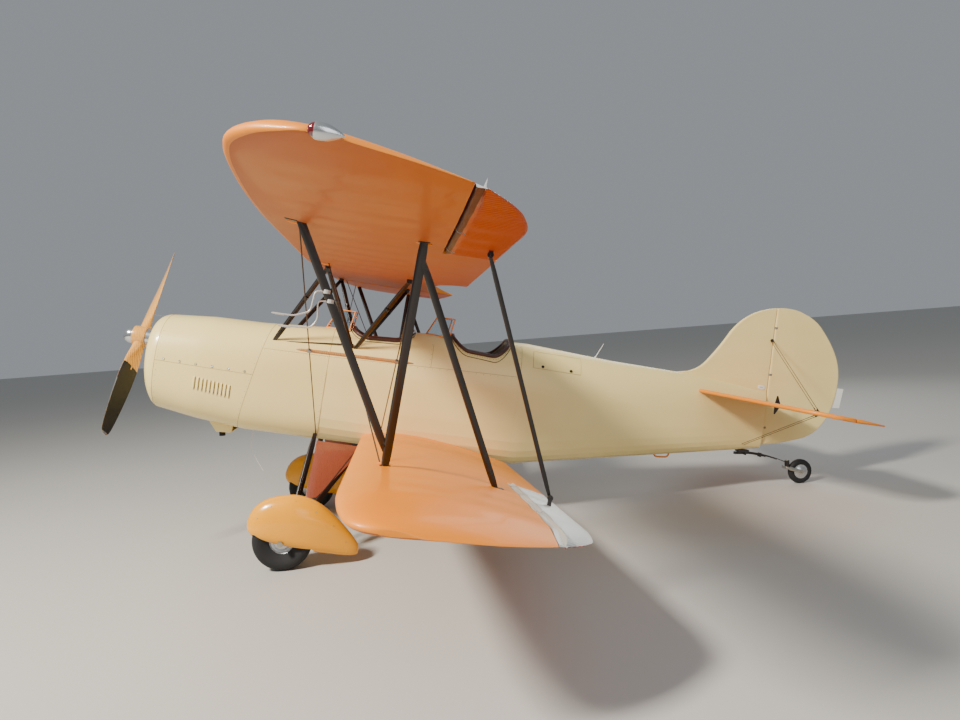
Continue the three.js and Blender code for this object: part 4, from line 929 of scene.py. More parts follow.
# Struts: streamlined steel tube painted near black, drawn down at each end to a flat tang that is bolted
# between two plates on a base plate of the wing or the longeron.
strut_black = finish("strut_black_enamel", "#1c1512", 0.32, coat=0.3, shade=0.25, patch=3, grain_scale=140,
                     relief=0.06)
bolt_steel = finish("cadmium_bolt_steel", "#a9a69c", 0.36, metallic=0.85, shade=0.2, patch=30,
                    grain_scale=300, relief=0.05)


def streamlined(a, b, wide, thin, towards=(1, 0, 0), draw=0.09, ends=(True, True)):
    """A streamlined member from a to b whose ends are drawn down to flat tangs."""
    a, b = Vector(a), Vector(b)
    axis, aft, cross = framed(a, b, towards)
    length = (b - a).length
    taper = [(0.0, 0.70, 0.36), (0.035, 0.74, 0.38), (0.055, 0.82, 0.62), (0.055 + draw * 0.5, 0.95, 0.9),
             (0.055 + draw, 1, 1)]
    plain = [(0.0, 1, 1)]
    head = taper if ends[0] else plain
    tail = [(length - reach, w, t) for reach, w, t in reversed(taper if ends[1] else plain)]
    even = [length * i / 6 for i in range(1, 6)]
    rows = head + [(x, 1, 1) for x in even if head[-1][0] < x < tail[0][0]] + tail

    def point(i, turn):
        reach, w, t = rows[int(i)]
        c, s = cos(2 * pi * turn), sin(2 * pi * turn)
        fullness = s * (0.72 - 0.34 * c - 0.06 * (1 + c) ** 2) / 0.76
        return a + axis * reach + aft * (wide / 2 * c * w) + cross * (thin / 2 * fullness * t)
    return draw_out(range(len(rows)), point, 28)


def end_fitting(at, along, towards=(1, 0, 0), wide=0.030, thin=0.016, reach=0.062):
    """Two plates clasping the tang of a strut, with a bolt through them."""
    at = Vector(at)
    axis, aft, cross = framed(at, at + Vector(along), towards)
    frame_matrix = Matrix((aft, cross, axis)).transposed().to_4x4()
    parts = []
    for side_of in (-1, 1):
        plate = block((-wide / 2, side_of * thin / 2 - 0.0016, -0.03),
                      (wide / 2, side_of * thin / 2 + 0.0016, reach), 0.0008, 1)
        parts.append(plate)
    parts.append(rod((0, -thin / 2 - 0.008, reach - 0.018), (0, thin / 2 + 0.009, reach - 0.018), 0.0045,
                     12))
    for y in (-thin / 2 - 0.0075, thin / 2 + 0.0035):
        parts.append(rod((0, y, reach - 0.018), (0, y + 0.0045, reach - 0.018), 0.0085, 6))
    fitting = join_meshes(bmesh.new(), *parts)
    bmesh.ops.transform(fitting, matrix=Matrix.Translation(at) @ frame_matrix, verts=fitting.verts)
    return fitting


def skin_spot(wing, fraction, y, upper):
    """How far along its chord a place on a wing lies, and the height of the skin there."""
    lead, trail = edges_at(wing, y)
    s = (fraction - lead) / (trail - lead)
    return s, wing_height(wing, y, s, upper)


def base_plate(wing, side, fraction, y, z_side, long=0.062, wide=0.038):
    """A thin plate screwed to the wing's skin where a strut meets it."""
    s, height = skin_spot(wing, fraction, y, z_side > 0)
    parts = [block((-long / 2, -wide / 2, -0.004), (long / 2, wide / 2, 0.0035), 0.0025, 2)]
    for dx in (-long / 2 + 0.012, long / 2 - 0.012):
        parts.append(ball((dx, 0, z_side * 0.0030), (0.0052, 0.0052, 0.0026)))
    joined = join_meshes(bmesh.new(), *parts)
    ahead_z, behind_z = (wing_height(wing, y, s + shift, z_side > 0) for shift in (-0.02, 0.02))
    slope = (behind_z - ahead_z) / (0.04 * wing["chord"])
    spot = Matrix.Translation((wing["chord"] * fraction, side * (y - wing["root"]), height))
    place = BODY.inverted() @ wing_place(wing, side) @ spot @ Matrix.Rotation(-atan2(slope, 1), 4, "Y")
    bmesh.ops.transform(joined, matrix=place, verts=joined.verts)
    return joined


# The pitot tubes' bends: x and z, from the port front strut forward
PITOT = [[(1.750, 0.544), (1.695, 0.540), (1.685, 0.430), (1.607, 0.396), (1.498, 0.393)],
         [(1.758, 0.498), (1.713, 0.491), (1.727, 0.395), (1.698, 0.347), (1.537, 0.334)]]
pitot_grey = finish("pitot_tube_grey", "#c9c8c2", 0.3, metallic=0.3, shade=0.1)
javelin_wood = wood_finish("javelin_spruce", "#c58a4a", "#8a5427", (0.4, 1, 1), 60, gloss=0.3)
wire_steel = finish("brace_wire_steel", "#4a3f38", 0.34, metallic=0.7, shade=0.15)
FRONT_LOW, REAR_LOW, FRONT_HIGH, REAR_HIGH = 0.168, 0.695, 0.160, 0.675
BAY_LOWER, BAY_UPPER = 2.430, 2.720
WIRE_RADIUS = 0.0040


def brace_wire(a, b, fork=0.075, radius=WIRE_RADIUS, towards=(0.3, 0.8, 0.5)):
    """A swaged wire with a threaded fork, a lock nut and its pin at each end."""
    a, b = Vector(a), Vector(b)
    length = (b - a).length
    r = radius
    end = [(0, 1.6 * r), (fork * 0.5, 1.6 * r), (fork * 0.52, 2.1 * r), (fork * 0.62, 2.1 * r),
           (fork * 0.64, 1.35 * r), (fork * 1.3, r)]
    rows = end + [(length - reach, thick) for reach, thick in reversed(end)]
    return rod(a, b, r, 10, towards, profile=rows)


for side_name, side in SIDES:
    low_front = on_wing(LOWER, side, FRONT_LOW, BAY_LOWER, 0.030)
    low_rear = on_wing(LOWER, side, REAR_LOW, BAY_LOWER - 0.020, 0.025)
    high_front = on_wing(UPPER, side, FRONT_HIGH, BAY_UPPER, 0.030)
    high_rear = on_wing(UPPER, side, REAR_HIGH, BAY_UPPER, 0.030)
    front_foot = low_front.lerp(high_rear, 0.09)
    rear_head = low_front.lerp(high_rear, 0.90)
    pairs = [(low_front, high_rear, 0.050, 0.024), (front_foot, high_front, 0.046, 0.022),
             (low_rear, rear_head, 0.040, 0.022)]
    members = [streamlined(a, b, wide, thin) for a, b, wide, thin in pairs]
    for a, b, wide, thin in pairs:
        direction = (b - a).normalized()
        for at, way in ((a, direction), (b, -direction)):
            members.append(end_fitting(at + way * 0.012, way, thin=thin * 0.46))
    for wing, fraction, y, z_side in ((LOWER, FRONT_LOW, BAY_LOWER, 1),
                                      (LOWER, REAR_LOW, BAY_LOWER - 0.020, 1),
                                      (UPPER, FRONT_HIGH, BAY_UPPER, -1),
                                      (UPPER, REAR_HIGH, BAY_UPPER, -1)):
        members.append(base_plate(wing, side, fraction, y, z_side))
    settle(members, f"interplane_struts_{side_name}", strut_black, "airframe",
           f"interplane_{side_name}")

    front_root, rear_root = Vector((1.605, side * 0.290, -0.570)), Vector((2.130, side * 0.345, -0.510))
    fly_front = on_wing(UPPER, side, 0.170, BAY_UPPER - 0.060, 0.020)
    fly_rear = on_wing(UPPER, side, REAR_HIGH, BAY_UPPER - 0.060, 0.020)
    high_inner = on_wing(UPPER, side, 0.150, 0.850, 0.020)
    land_foot = on_wing(LOWER, side, FRONT_LOW, BAY_LOWER - 0.060, 0.020)
    fly_slope = (fly_front.z - front_root.z) / (fly_front.y - front_root.y)
    land_slope = (high_inner.z - land_foot.z) / (high_inner.y - land_foot.y)
    rise = high_inner.z - land_slope * high_inner.y - front_root.z + fly_slope * front_root.y
    cross_y = rise / (fly_slope - land_slope)
    crossing = (cross_y - front_root.y) / (fly_front.y - front_root.y) - 0.055
    tie_front, tie_rear = front_root.lerp(fly_front, crossing), rear_root.lerp(fly_rear, crossing)
    wires = [brace_wire(front_root, fly_front), brace_wire(rear_root, fly_rear),
             brace_wire(high_inner, land_foot)]
    settle(wires, f"brace_wires_{side_name}", wire_steel, "airframe", f"wires_{side_name}")
    rod_a, rod_b = tie_front.lerp(tie_rear, -0.15), tie_front.lerp(tie_rear, 1.20)
    span = (rod_b - rod_a).length
    point_rows = [(0, 0.002), (0.01, 0.005), (0.04, 0.0085), (0.09, 0.0115), (0.14, 0.012)]
    javelin = rod(rod_a, rod_b, 0.012, 24,
                  profile=point_rows + [(span - reach, r) for reach, r in reversed(point_rows)])
    settle(javelin, f"javelin_{side_name}", javelin_wood, "airframe")
    clips = []
    for at in (tie_front, tie_rear):
        along_rod = (rod_b - rod_a).normalized()
        clips.append(rod(at - along_rod * 0.012, at + along_rod * 0.012, 0.0145, 20))
    settle(clips, f"javelin_clips_{side_name}", bolt_steel, "airframe")

    # Cabane: three members from the top longeron to round sockets under the centre section
    foot_front, foot_rear = Vector((1.140, side * 0.330, 0.130)), Vector((1.800, side * 0.330, 0.170))
    top_front, top_rear = Vector((1.530, side * 0.690, 0.802)), Vector((2.170, side * 0.690, 0.796))
    cabane = [streamlined(foot_front, top_front, 0.040, 0.022),
              streamlined(foot_rear, top_front, 0.040, 0.022),
              streamlined(foot_rear, top_rear, 0.040, 0.022)]
    for top in (top_front, top_rear):
        cabane.append(rod(top - Vector((0, 0, 0.012)), top + Vector((0, 0, 0.020)), 0.022, 24,
                          profile=[(0, 0.019), (0.003, 0.022), (0.060, 0.022)]))
    for a, b in ((foot_front, top_front), (foot_rear, top_front), (foot_rear, top_rear)):
        direction = (b - a).normalized()
        cabane.append(end_fitting(b - direction * 0.004, -direction, thin=0.010))
        middle = a.lerp(b, 0.62)
        cabane.append(rod(middle - direction * 0.011, middle + direction * 0.011, 0.0215, 24))
    cabane.append(tube([(1.128, side * 0.345, 0.150), (1.800, side * 0.345, 0.228)], 0.006))
    settle(cabane, f"cabane_struts_{side_name}", strut_black, "airframe",
           f"cabane_{side_name}")

    # Aileron rod: a thin streamlined strut with an eye at each end, pinned to the lower aileron's ear
    low_pin = on_wing(LOWER, side, LOWER["hinge"] + 0.138 / LOWER["chord"], 2.450, 0.060)
    high_pin = on_wing(UPPER, side, UPPER["hinge"] + 0.188 / UPPER["chord"], 2.750, -0.030)
    shift = Vector((0, -side * 0.017, 0))
    low, high = low_pin + shift, high_pin + shift
    way = (high - low).normalized()
    link = [streamlined(low - way * 0.012, high + way * 0.012, 0.026, 0.012)]
    for at in (low, high):
        link.append(rod(at + Vector((0, -0.006, 0)), at + Vector((0, 0.006, 0)), 0.0145, 24))
    for at, pin_at in ((low, low_pin), (high, high_pin)):
        link.append(rod(at + Vector((0, -side * 0.010, 0)), pin_at + Vector((0, side * 0.010, 0)), 0.004,
                        16))
        link.append(rod(at + Vector((0, -side * 0.0105, 0)), at + Vector((0, -side * 0.006, 0)), 0.0075, 6))
    settle(link, f"aileron_rod_{side_name}", strut_black, f"aileron_link_{side_name}",
           f"aileron_link_{side_name}")

# Pitot and static tubes: two bent tubes clamped to the port front strut
foot = on_wing(LOWER, -1, FRONT_LOW, BAY_LOWER, 0.030)
front_foot = foot.lerp(on_wing(UPPER, -1, REAR_HIGH, BAY_UPPER, 0.030), 0.09)
high_front = on_wing(UPPER, -1, FRONT_HIGH, BAY_UPPER, 0.030)
pitot_tubes = []
for bends in PITOT:
    start = front_foot.lerp(high_front, (bends[0][1] - front_foot.z) / (high_front.z - front_foot.z))
    corners = [Vector(start)] + [Vector((x, start.y - 0.016, z)) for x, z in bends[1:]]
    path = [corners[0]]
    for before, corner, after in zip(corners, corners[1:], corners[2:]):
        bend = min(0.022, (corner - before).length * 0.4, (after - corner).length * 0.4)
        p, q = corner + (before - corner).normalized() * bend, corner + (after - corner).normalized() * bend
        path += [p.lerp(corner, t).lerp(corner.lerp(q, t), t) for t in (0, 0.25, 0.5, 0.75, 1)]
    path.append(corners[-1])
    pitot_tubes.append(tube(path, 0.0045, 12, lift=(0, 1, 0)))
    tip = corners[-1]
    pitot_tubes.append(rod(tip + Vector((0.06, 0, 0)), tip + Vector((-0.004, 0, 0)), 0.0052, 12,
                           profile=[(0, 0.0052), (0.052, 0.0052), (0.063, 0.0024)]))
    pitot_tubes.append(rod(start - Vector((0, 0, 0.010)), start + Vector((0, 0, 0.010)), 0.019, 20))
settle(pitot_tubes, "pitot_tubes", pitot_grey, "airframe")

# Main gear: streamlined steel legs and axle, with a varnished plywood panel filling the triangle between
# them, crossed by a brace wire, and a wheel in a glossy spat at each end.
WHEEL = Vector((1.540, 0, -1.2916))
HALF_TRACK = 0.930
spat_yellow = finish("spat_yellow_gloss", "#f5a600", 0.26, coat=0.3, shade=0.05, patch=1.5, grain_scale=60,
                     relief=0.02)
mahogany = wood_finish("varnished_mahogany", "#8f4b36", "#5a2a1c", (1, 1, 0.35), 34, gloss=0.2, rings=5)
rubber = finish("tyre_rubber", "#17181a", 0.72, shade=0.35, patch=12, grain_scale=420, relief=0.25)
hub_alloy = finish("hub_alloy", "#c4c6c7", 0.3, metallic=0.9, shade=0.15, patch=10, grain_scale=260,
                   relief=0.08)
# x, half width, top, bottom
SPAT = [(1.264, 0.012, -1.176, -1.206), (1.276, 0.046, -1.122, -1.240), (1.310, 0.082, -1.060, -1.274),
        (1.380, 0.106, -1.000, -1.302), (1.500, 0.118, -0.955, -1.320), (1.616, 0.120, -0.941, -1.330),
        (1.760, 0.108, -0.974, -1.338), (1.900, 0.084, -1.060, -1.340), (2.000, 0.062, -1.143, -1.340),
        (2.064, 0.044, -1.205, -1.336), (2.100, 0.026, -1.248, -1.326), (2.110, 0.014, -1.272, -1.316),
        (2.112, 0.006, -1.286, -1.306)]


def spat_point(side, inset=0.0):
    def place(x, turn):
        half, top, bottom = between(SPAT, x)
        c, s = cos(2 * pi * turn), sin(2 * pi * turn)
        power = 0.9 if s > 0 else 0.62
        middle = bottom + 0.35 * (top - bottom)
        reach = (top - middle if s > 0 else middle - bottom) - inset
        return Vector((x, side * HALF_TRACK + (half - inset) * copysign(abs(c) ** power, c),
                       middle + reach * copysign(abs(s) ** power, s)))
    return place


def mirrored(rows):
    """Rows of radius and place up to the middle of a wheel, with the same rows beyond it."""
    return rows + [(r, -y) for r, y in reversed(rows) if y]


spat_stations = [1.264, 1.266, 1.270, 1.276, 1.286, 1.297] + steps(1.310, 2.000, 0.025)
spat_stations += [2.020, 2.042, 2.064, 2.082, 2.092, 2.100, 2.106, 2.110, 2.112]
TYRE = mirrored([
    (0.092, -0.050), (0.118, -0.058), (0.135, -0.064), (0.160, -0.072), (0.184, -0.075), (0.200, -0.068),
    (0.213, -0.052), (0.2195, -0.036), (0.2215, -0.0265), (0.2170, -0.0255), (0.2170, -0.0215),
    (0.2222, -0.0205), (0.2225, -0.0085), (0.2178, -0.0075), (0.2178, -0.0035), (0.2225, -0.0025)])
HUB = mirrored([(0.0203, -0.058), (0.050, -0.058), (0.056, -0.054), (0.060, -0.034), (0.066, -0.030),
                (0.083, -0.034), (0.0885, -0.046), (0.0915, -0.048)])
TAIL_TYRE = mirrored([(0.0084, -0.030), (0.030, -0.029), (0.036, -0.024), (0.066, -0.022), (0.072, -0.027),
                      (0.095, -0.028), (0.107, -0.022), (0.1135, -0.012), (0.115, 0)])
HUB_CAP = [(0, -0.004), (0.0195, -0.004), (0.0215, 0.0), (0.0220, 0.006), (0.0205, 0.0115), (0.010, 0.0130),
           (0, 0.0132)]
for side_name, side in SIDES:
    y = side * HALF_TRACK
    shell = carve(draw_out(spat_stations, spat_point(side), 72), [
        draw_out(steps(1.276, 2.010, 0.025), spat_point(side, 0.004), 72),
        block((1.318, y - 0.092, -1.500), (1.790, y + 0.092, -1.240), 0.03, 4),
        rod((WHEEL.x, y - 0.2, WHEEL.z), (WHEEL.x, y + 0.2, WHEEL.z), 0.0206, 32)])
    settle(shell, f"wheel_spat_{side_name}", spat_yellow, "airframe", f"spat_{side_name}",
           crease=40)
    cap = turned(HUB_CAP, 40)
    if side < 0:
        bmesh.ops.rotate(cap, verts=cap.verts, cent=(0, 0, 0), matrix=Matrix.Rotation(pi, 3, "Z"))
    bmesh.ops.translate(cap, verts=cap.verts, vec=(WHEEL.x, side * (HALF_TRACK + 0.117), WHEEL.z))
    screws = [cap]
    for x, z in ((1.345, -1.13), (1.43, -1.035), (1.60, -0.975), (1.76, -1.03), (1.90, -1.12),
                 (2.01, -1.23)):
        half, top, bottom = between(SPAT, x)
        middle = bottom + 0.35 * (top - bottom)
        share = min(1, max(0, (z - middle) / (top - middle)))
        reach = half * (1 - share ** (2 / 0.9)) ** 0.45
        screws.append(ball((x, y + side * (reach - 0.002), z), (0.005, 0.005, 0.005)))
    settle(screws, f"spat_screws_{side_name}", bolt_steel, "airframe")

    centre = (WHEEL.x, y, WHEEL.z)
    settle(turned(TYRE, 96, centre=centre), f"main_tyre_{side_name}", rubber, f"wheel_{side_name}",
           f"tyre_{side_name}", crease=50)
    hub_parts = [turned(HUB, 64, centre=centre)]
    for i in range(6):
        spot = (WHEEL.x + 0.074 * cos(pi * i / 3), WHEEL.z + 0.074 * sin(pi * i / 3))
        hub_parts.append(rod((spot[0], y - 0.040, spot[1]), (spot[0], y + 0.040, spot[1]), 0.0055, 6))
    settle(hub_parts, f"main_hub_{side_name}", hub_alloy, f"wheel_{side_name}",
           f"wheel_hub_{side_name}", crease=40)

    axle_in = y - side * 0.150
    foot = Vector((WHEEL.x + 0.020, axle_in, WHEEL.z + 0.020))
    tops = Vector((1.600, side * 0.320, -0.560)), Vector((2.015, side * 0.300, -0.575))
    rear_join = Vector((1.720, side * 0.770, -1.040))
    legs = [streamlined(tops[0], foot, 0.048, 0.040, ends=(True, False)),
            streamlined(tops[1], rear_join, 0.044, 0.036, ends=(True, False)),
            streamlined((1.745, side * 0.760, -1.020), foot, 0.044, 0.036, ends=(False, False)),
            rod(foot, (WHEEL.x, axle_in + side * 0.020, WHEEL.z), 0.027, 28),
            rod((WHEEL.x, axle_in, WHEEL.z), (WHEEL.x, y + side * 0.128, WHEEL.z), 0.020, 32)]
    for at, along_leg in ((tops[0], foot - tops[0]), (tops[1], rear_join - tops[1])):
        legs.append(end_fitting(at, along_leg, thin=0.018, reach=0.075))
    settle(legs, f"gear_legs_{side_name}", strut_black, "airframe", f"gear_leg_{side_name}")

    corners = [Vector((1.625, side * 0.352, -0.610)), Vector((2.030, side * 0.352, -0.610)),
               Vector((1.722, side * 0.735, -0.990)), Vector((1.640, side * 0.735, -1.010))]
    normal = Vector((0, side * 0.7, 0.7))
    panel = plate_of([p - normal * 0.006 for p in corners], normal * 0.012)
    bmesh.ops.bevel(panel, geom=panel.edges[:], offset=0.002, segments=2, profile=0.5, affect="EDGES",
                    material=-1)
    settle(panel, f"gear_plywood_{side_name}", mahogany, "airframe",
           f"gear_panel_{side_name}")
    brace = brace_wire((2.030, side * 0.30, -0.600), (1.610, side * 0.735, -1.165), radius=0.003)
    settle(brace, f"gear_brace_{side_name}", wire_steel, "airframe")

# Tail wheel: a leaf spring from the stern, a castoring fork and a small solid-tyred wheel
PIVOT = Vector((5.967, 0, -0.240))
TAIL_WHEEL = Vector((6.107, 0, -0.2973))
UP_PARKED = Vector((-sin(radians(13.6)), 0, cos(radians(13.6))))
spring_rows = []
for x, z in [(5.430, -0.216), (5.500, -0.205), (5.560, -0.195)]:
    spring_rows.append(Vector((x, 0, z)))
for i in range(1, 15):
    t = i / 14
    spring_rows.append(Vector(((1 - t) ** 2 * 5.560 + 2 * t * (1 - t) * 5.760 + t ** 2 * 5.962, 0,
                               (1 - t) ** 2 * -0.1945 + 2 * t * (1 - t) * -0.189 + t ** 2 * -0.241)))


def leaf_point(lift):
    def place(i, turn):
        i = int(i)
        at = spring_rows[i] + Vector((0, 0, lift))
        c, s = cos(2 * pi * turn), sin(2 * pi * turn)
        return at + Vector((0, 0.022 * copysign(abs(c) ** 0.25, c), 0.0036 * copysign(abs(s) ** 0.4, s)))
    return place


leaves = []
for lift, short in ((0.005, 0), (-0.003, 4), (-0.0105, 8)):
    leaves.append(draw_out(range(len(spring_rows) - short), leaf_point(lift), 20))
leaves.append(block((5.440, -0.022, -0.200), (5.560, 0.022, -0.170), 0.003))
leaves.append(rod(PIVOT - UP_PARKED * 0.026, PIVOT + UP_PARKED * 0.026, 0.022, 32))
for x in (5.47, 5.53, 5.68):
    leaves.append(block((x - 0.008, -0.0255, -0.2235 + max(0, x - 5.5) * 0.02),
                        (x + 0.008, 0.0255, -0.186 + max(0, x - 5.5) * 0.02), 0.002))
settle(leaves, "tail_spring_leaves", strut_black, "airframe", "tail_spring")
down = PIVOT - UP_PARKED * 0.038
fork = [block((down.x - 0.030, -0.046, down.z - 0.018), (down.x + 0.005, 0.046, down.z + 0.006), 0.004),
        rod(PIVOT - UP_PARKED * 0.040, PIVOT + UP_PARKED * 0.034, 0.010, 28),
        rod(PIVOT + UP_PARKED * 0.0264, PIVOT + UP_PARKED * 0.034, 0.018, 6),
        rod(TAIL_WHEEL - Vector((0, 0.052, 0)), TAIL_WHEEL + Vector((0, 0.052, 0)), 0.008, 20),
        rod(TAIL_WHEEL - Vector((0, 0.058, 0)), TAIL_WHEEL - Vector((0, 0.047, 0)), 0.012, 6),
        rod(TAIL_WHEEL + Vector((0, 0.047, 0)), TAIL_WHEEL + Vector((0, 0.058, 0)), 0.012, 6)]
for arm_y in (-0.042, 0.042):
    fork.append(streamlined((down.x, arm_y, down.z - 0.006), (TAIL_WHEEL.x, arm_y, TAIL_WHEEL.z), 0.034,
                            0.009, towards=(0, 0, 1), ends=(False, False)))
    fork.append(rod(TAIL_WHEEL + Vector((0, arm_y - 0.0045, 0)),
                    TAIL_WHEEL + Vector((0, arm_y + 0.0045, 0)), 0.017, 24))
settle(fork, "tail_wheel_fork", bolt_steel, "tail_fork", "tail_fork")
tail_tyre = turned(TAIL_TYRE, 64, centre=TAIL_WHEEL)
for face in tail_tyre.faces:
    middle = face.calc_center_median() - TAIL_WHEEL
    if hypot(middle.x, middle.z) < 0.068:
        face.material_index = 1
settle(tail_tyre, "tail_wheel_tyre", [rubber, hub_alloy], "tail_wheel", "tail_wheel",
       crease=40)

# Tail surfaces: welded tube outlines under doped fabric, so the edges are round and the fabric dips
# between the ribs. Each is drawn station by station across its outline.
TAIL_HALF = 0.017


def curve(*points):
    """Straight and curved runs joined: two points make a line, three or four a curve with its pulls."""
    path = []
    for run in points:
        for i in range(25 if len(run) > 2 else 2):
            t = i / (24 if len(run) > 2 else 1)
            spots = [Vector(p) for p in run]
            while len(spots) > 1:
                spots = [a.lerp(b, t) for a, b in zip(spots, spots[1:])]
            path.append(spots[0])
    return path


def span_of(outline, level):
    """The lowest and highest x of a closed outline at a level."""
    found = []
    for a, b in zip(outline, outline[1:] + outline[:1]):
        if (a.y - level) * (b.y - level) <= 0 and abs(a.y - b.y) > 1e-9:
            found.append(a.x + (b.x - a.x) * (level - a.y) / (b.y - a.y))
    return (min(found), max(found)) if found else (0, 0.001)


def fabric_panel(outline, low, high, rib_pitch, trail_half=0.006, square_low=False, square_high=False,
                 flat_trail=False):
    """A thick fabric-covered surface over an outline in x and height."""
    def place(level, turn):
        start, end = span_of(outline, level)
        length = max(1e-3, end - start)
        u = (1 + cos(2 * pi * turn)) / 2
        x = start + length * u
        nose = min(1, (x - start) / TAIL_HALF)
        half = TAIL_HALF * sqrt(1 - (1 - nose) ** 2)
        if flat_trail:
            back = min(1, (end - x) / 0.005)
            half = min(half, TAIL_HALF - 0.005 + 0.005 * sqrt(max(0, 1 - (1 - back) ** 2)))
        else:
            back = max(0, (end - x) / length)
            half = min(half, trail_half + (TAIL_HALF - trail_half) * min(1, back * 1.6),
                       trail_half * sqrt(max(0, 1 - (1 - min(1, (end - x) / trail_half)) ** 2))
                       if end - x < trail_half else 1)
        for edge, square in ((low, square_low), (high, square_high)):
            away = abs(level - edge)
            if not square and away < TAIL_HALF:
                half *= sqrt(max(0, 1 - (1 - away / TAIL_HALF) ** 2))
        sag = 0.5 - 0.5 * cos(2 * pi * (level - low) / rib_pitch)
        window = min(1, (x - start) / 0.06) * min(1, max(0, (end - x) / 0.05))
        half = max(0, half - 0.0022 * sag * max(0, window))
        return Vector((x, copysign(half, sin(2 * pi * turn)) if 0 < turn < 1 and turn != 0.5 else 0, level))
    inner = steps(low + (0 if square_low else TAIL_HALF), high - (0 if square_high else TAIL_HALF), 0.030)
    rim = [TAIL_HALF * (1 - cos(pi / 2 * i / 6)) for i in range(6)]
    low_rim = [] if square_low else [low + r + 1e-5 for r in rim]
    high_rim = [] if square_high else [high - r - 1e-5 for r in reversed(rim)]
    return draw_out(low_rim + inner + high_rim, place, 72)


fin_outline = curve([(4.700, 0.200), (4.700, 0.440)], [(4.700, 0.440), (4.890, 0.455), (4.985, 0.570)],
                    [(4.985, 0.570), (5.110, 0.745), (5.180, 0.890)],
                    [(5.180, 0.890), (5.320, 1.130), (5.600, 1.186)], [(5.600, 1.186), (5.700, 1.186)],
                    [(5.700, 1.186), (5.700, 0.200)])
fin = fabric_panel(fin_outline, 0.200, 1.186, 0.240, flat_trail=True, square_low=True)
fin = carve(fin, [aft_of_post(-TAIL_NOSE - RUN_GAP)])
settle(fin, "fin_cover", cream_fabric, "airframe", "fin", crease=38)

RUDDER_PLACE = BODY @ Matrix.Translation((RUDDER_X, 0, 0)) @ Matrix.Rotation(-RUDDER_TILT, 4, "Y")
rudder_outline = curve([(-0.017, -0.108), (-0.017, 1.186)],
                       [(-0.017, 1.186), (0.150, 1.225), (0.330, 1.170), (0.440, 1.070)],
                       [(0.440, 1.070), (0.610, 0.890), (0.690, 0.740), (0.690, 0.560)],
                       [(0.690, 0.560), (0.690, 0.300), (0.590, 0.040), (0.350, -0.020)],
                       [(0.350, -0.020), (0.180, -0.080), (-0.017, -0.108)])
rudder_top = max(p.y for p in rudder_outline)
RUDDER_HINGES = (0.060, 0.560, 1.000)
rudder = carve(fabric_panel(rudder_outline, -0.1078, rudder_top - 1e-4, 0.235), [
    block((-0.08, -0.08, height - 0.010), (0.018, 0.08, height + 0.010)) for height in RUDDER_HINGES])
settle(rudder, "rudder_cover", cream_fabric, "rudder", "rudder", RUDDER_PLACE, crease=38)
tab_white = finish("trim_tab_white", "#eceae2", 0.4, shade=0.06)
tab_plate = side_plate([(0.640, 0.318), (0.735, 0.318), (0.755, 0.505), (0.640, 0.505)], 0.0016, 0)
settle(tab_plate, "rudder_tab", tab_white, "rudder", place=RUDDER_PLACE)
pins, eyes = [], []
for height in RUDDER_HINGES:
    pins.append(rod((0, 0, height - 0.0125), (0, 0, height + 0.0125), 0.0048, 16))
    eyes.append(join_meshes(block((-TAIL_NOSE - RUN_GAP - 0.008, -0.008, height - 0.0045),
                                  (0, 0.008, height + 0.0045), 0.001, 1),
                            rod((0, 0, height - 0.0045), (0, 0, height + 0.0045), 0.0125, 24)))
settle(pins, "rudder_pins", bolt_steel, "rudder", place=RUDDER_PLACE)
settle(eyes, "rudder_hinge_eyes", bolt_steel, "airframe", place=RUDDER_PLACE)

TAILPLANE_PLACE = BODY @ Matrix.Translation((5.300, 0, 0.300)) @ Matrix.Rotation(WING_INCIDENCE, 4, "Y")
HINGE_X = 0.340
rear = HINGE_X - TAIL_NOSE - RUN_GAP
half_outline = curve([(-0.385, 0), (-0.355, 0.200)], [(-0.355, 0.200), (-0.055, 1.160)],
                     [(-0.055, 1.160), (0.035, 1.420), (0.235, 1.420)],
                     [(0.235, 1.420), (rear, 1.410)], [(rear, 1.410), (rear, 0)])
elevator_outline = curve([(-0.017, 0.062), (0.030, 0.062)], [(0.030, 0.062), (0.362, 0.285)],
                         [(0.362, 0.285), (0.402, 0.310), (0.402, 0.360)],
                         [(0.402, 0.360), (0.402, 1.000)], [(0.402, 1.000), (0.382, 1.360), (0.060, 1.410)],
                         [(0.060, 1.410), (-0.017, 1.410)], [(-0.017, 1.410), (-0.017, 0.062)])
halves = []
for side_name, side in SIDES:
    to_side = Matrix(((1, 0, 0, 0), (0, 0, side, 0), (0, 1, 0, 0), (0, 0, 0, 1)))
    half = fabric_panel(half_outline, 0.0, 1.4195, 0.240, flat_trail=True, square_low=True)
    bmesh.ops.transform(half, matrix=to_side, verts=half.verts)
    halves.append(half)
    cover = fabric_panel(elevator_outline, 0.062, 1.4098, 0.240)
    bmesh.ops.transform(cover, matrix=to_side, verts=cover.verts)
    spots = [side * 0.330, side * 1.200]
    cover = carve(cover, [hinge_notch(y, 0.08) for y in spots])
    place = TAILPLANE_PLACE @ Matrix.Translation((HINGE_X, 0, 0))
    settle(cover, f"elevator_cover_{side_name}", orange_top, "elevators",
           f"elevator_{side_name}", place, crease=38)
    settle([pin(y) for y in spots], f"elevator_pins_{side_name}", bolt_steel, "elevators",
           place=place)
    settle([hinge_parts(y, TAIL_NOSE + RUN_GAP + 0.008) for y in spots],
           f"elevator_hinge_eyes_{side_name}", bolt_steel, "airframe", place=place)
stabiliser = join_meshes(bmesh.new(), *halves)
bmesh.ops.remove_doubles(stabiliser, verts=stabiliser.verts, dist=1e-5)
inner_walls = [f for f in stabiliser.faces
               if abs(f.calc_center_median().y) < 1e-5 and abs(f.normal.y) > 0.9]
bmesh.ops.delete(stabiliser, geom=inner_walls, context="FACES_ONLY")
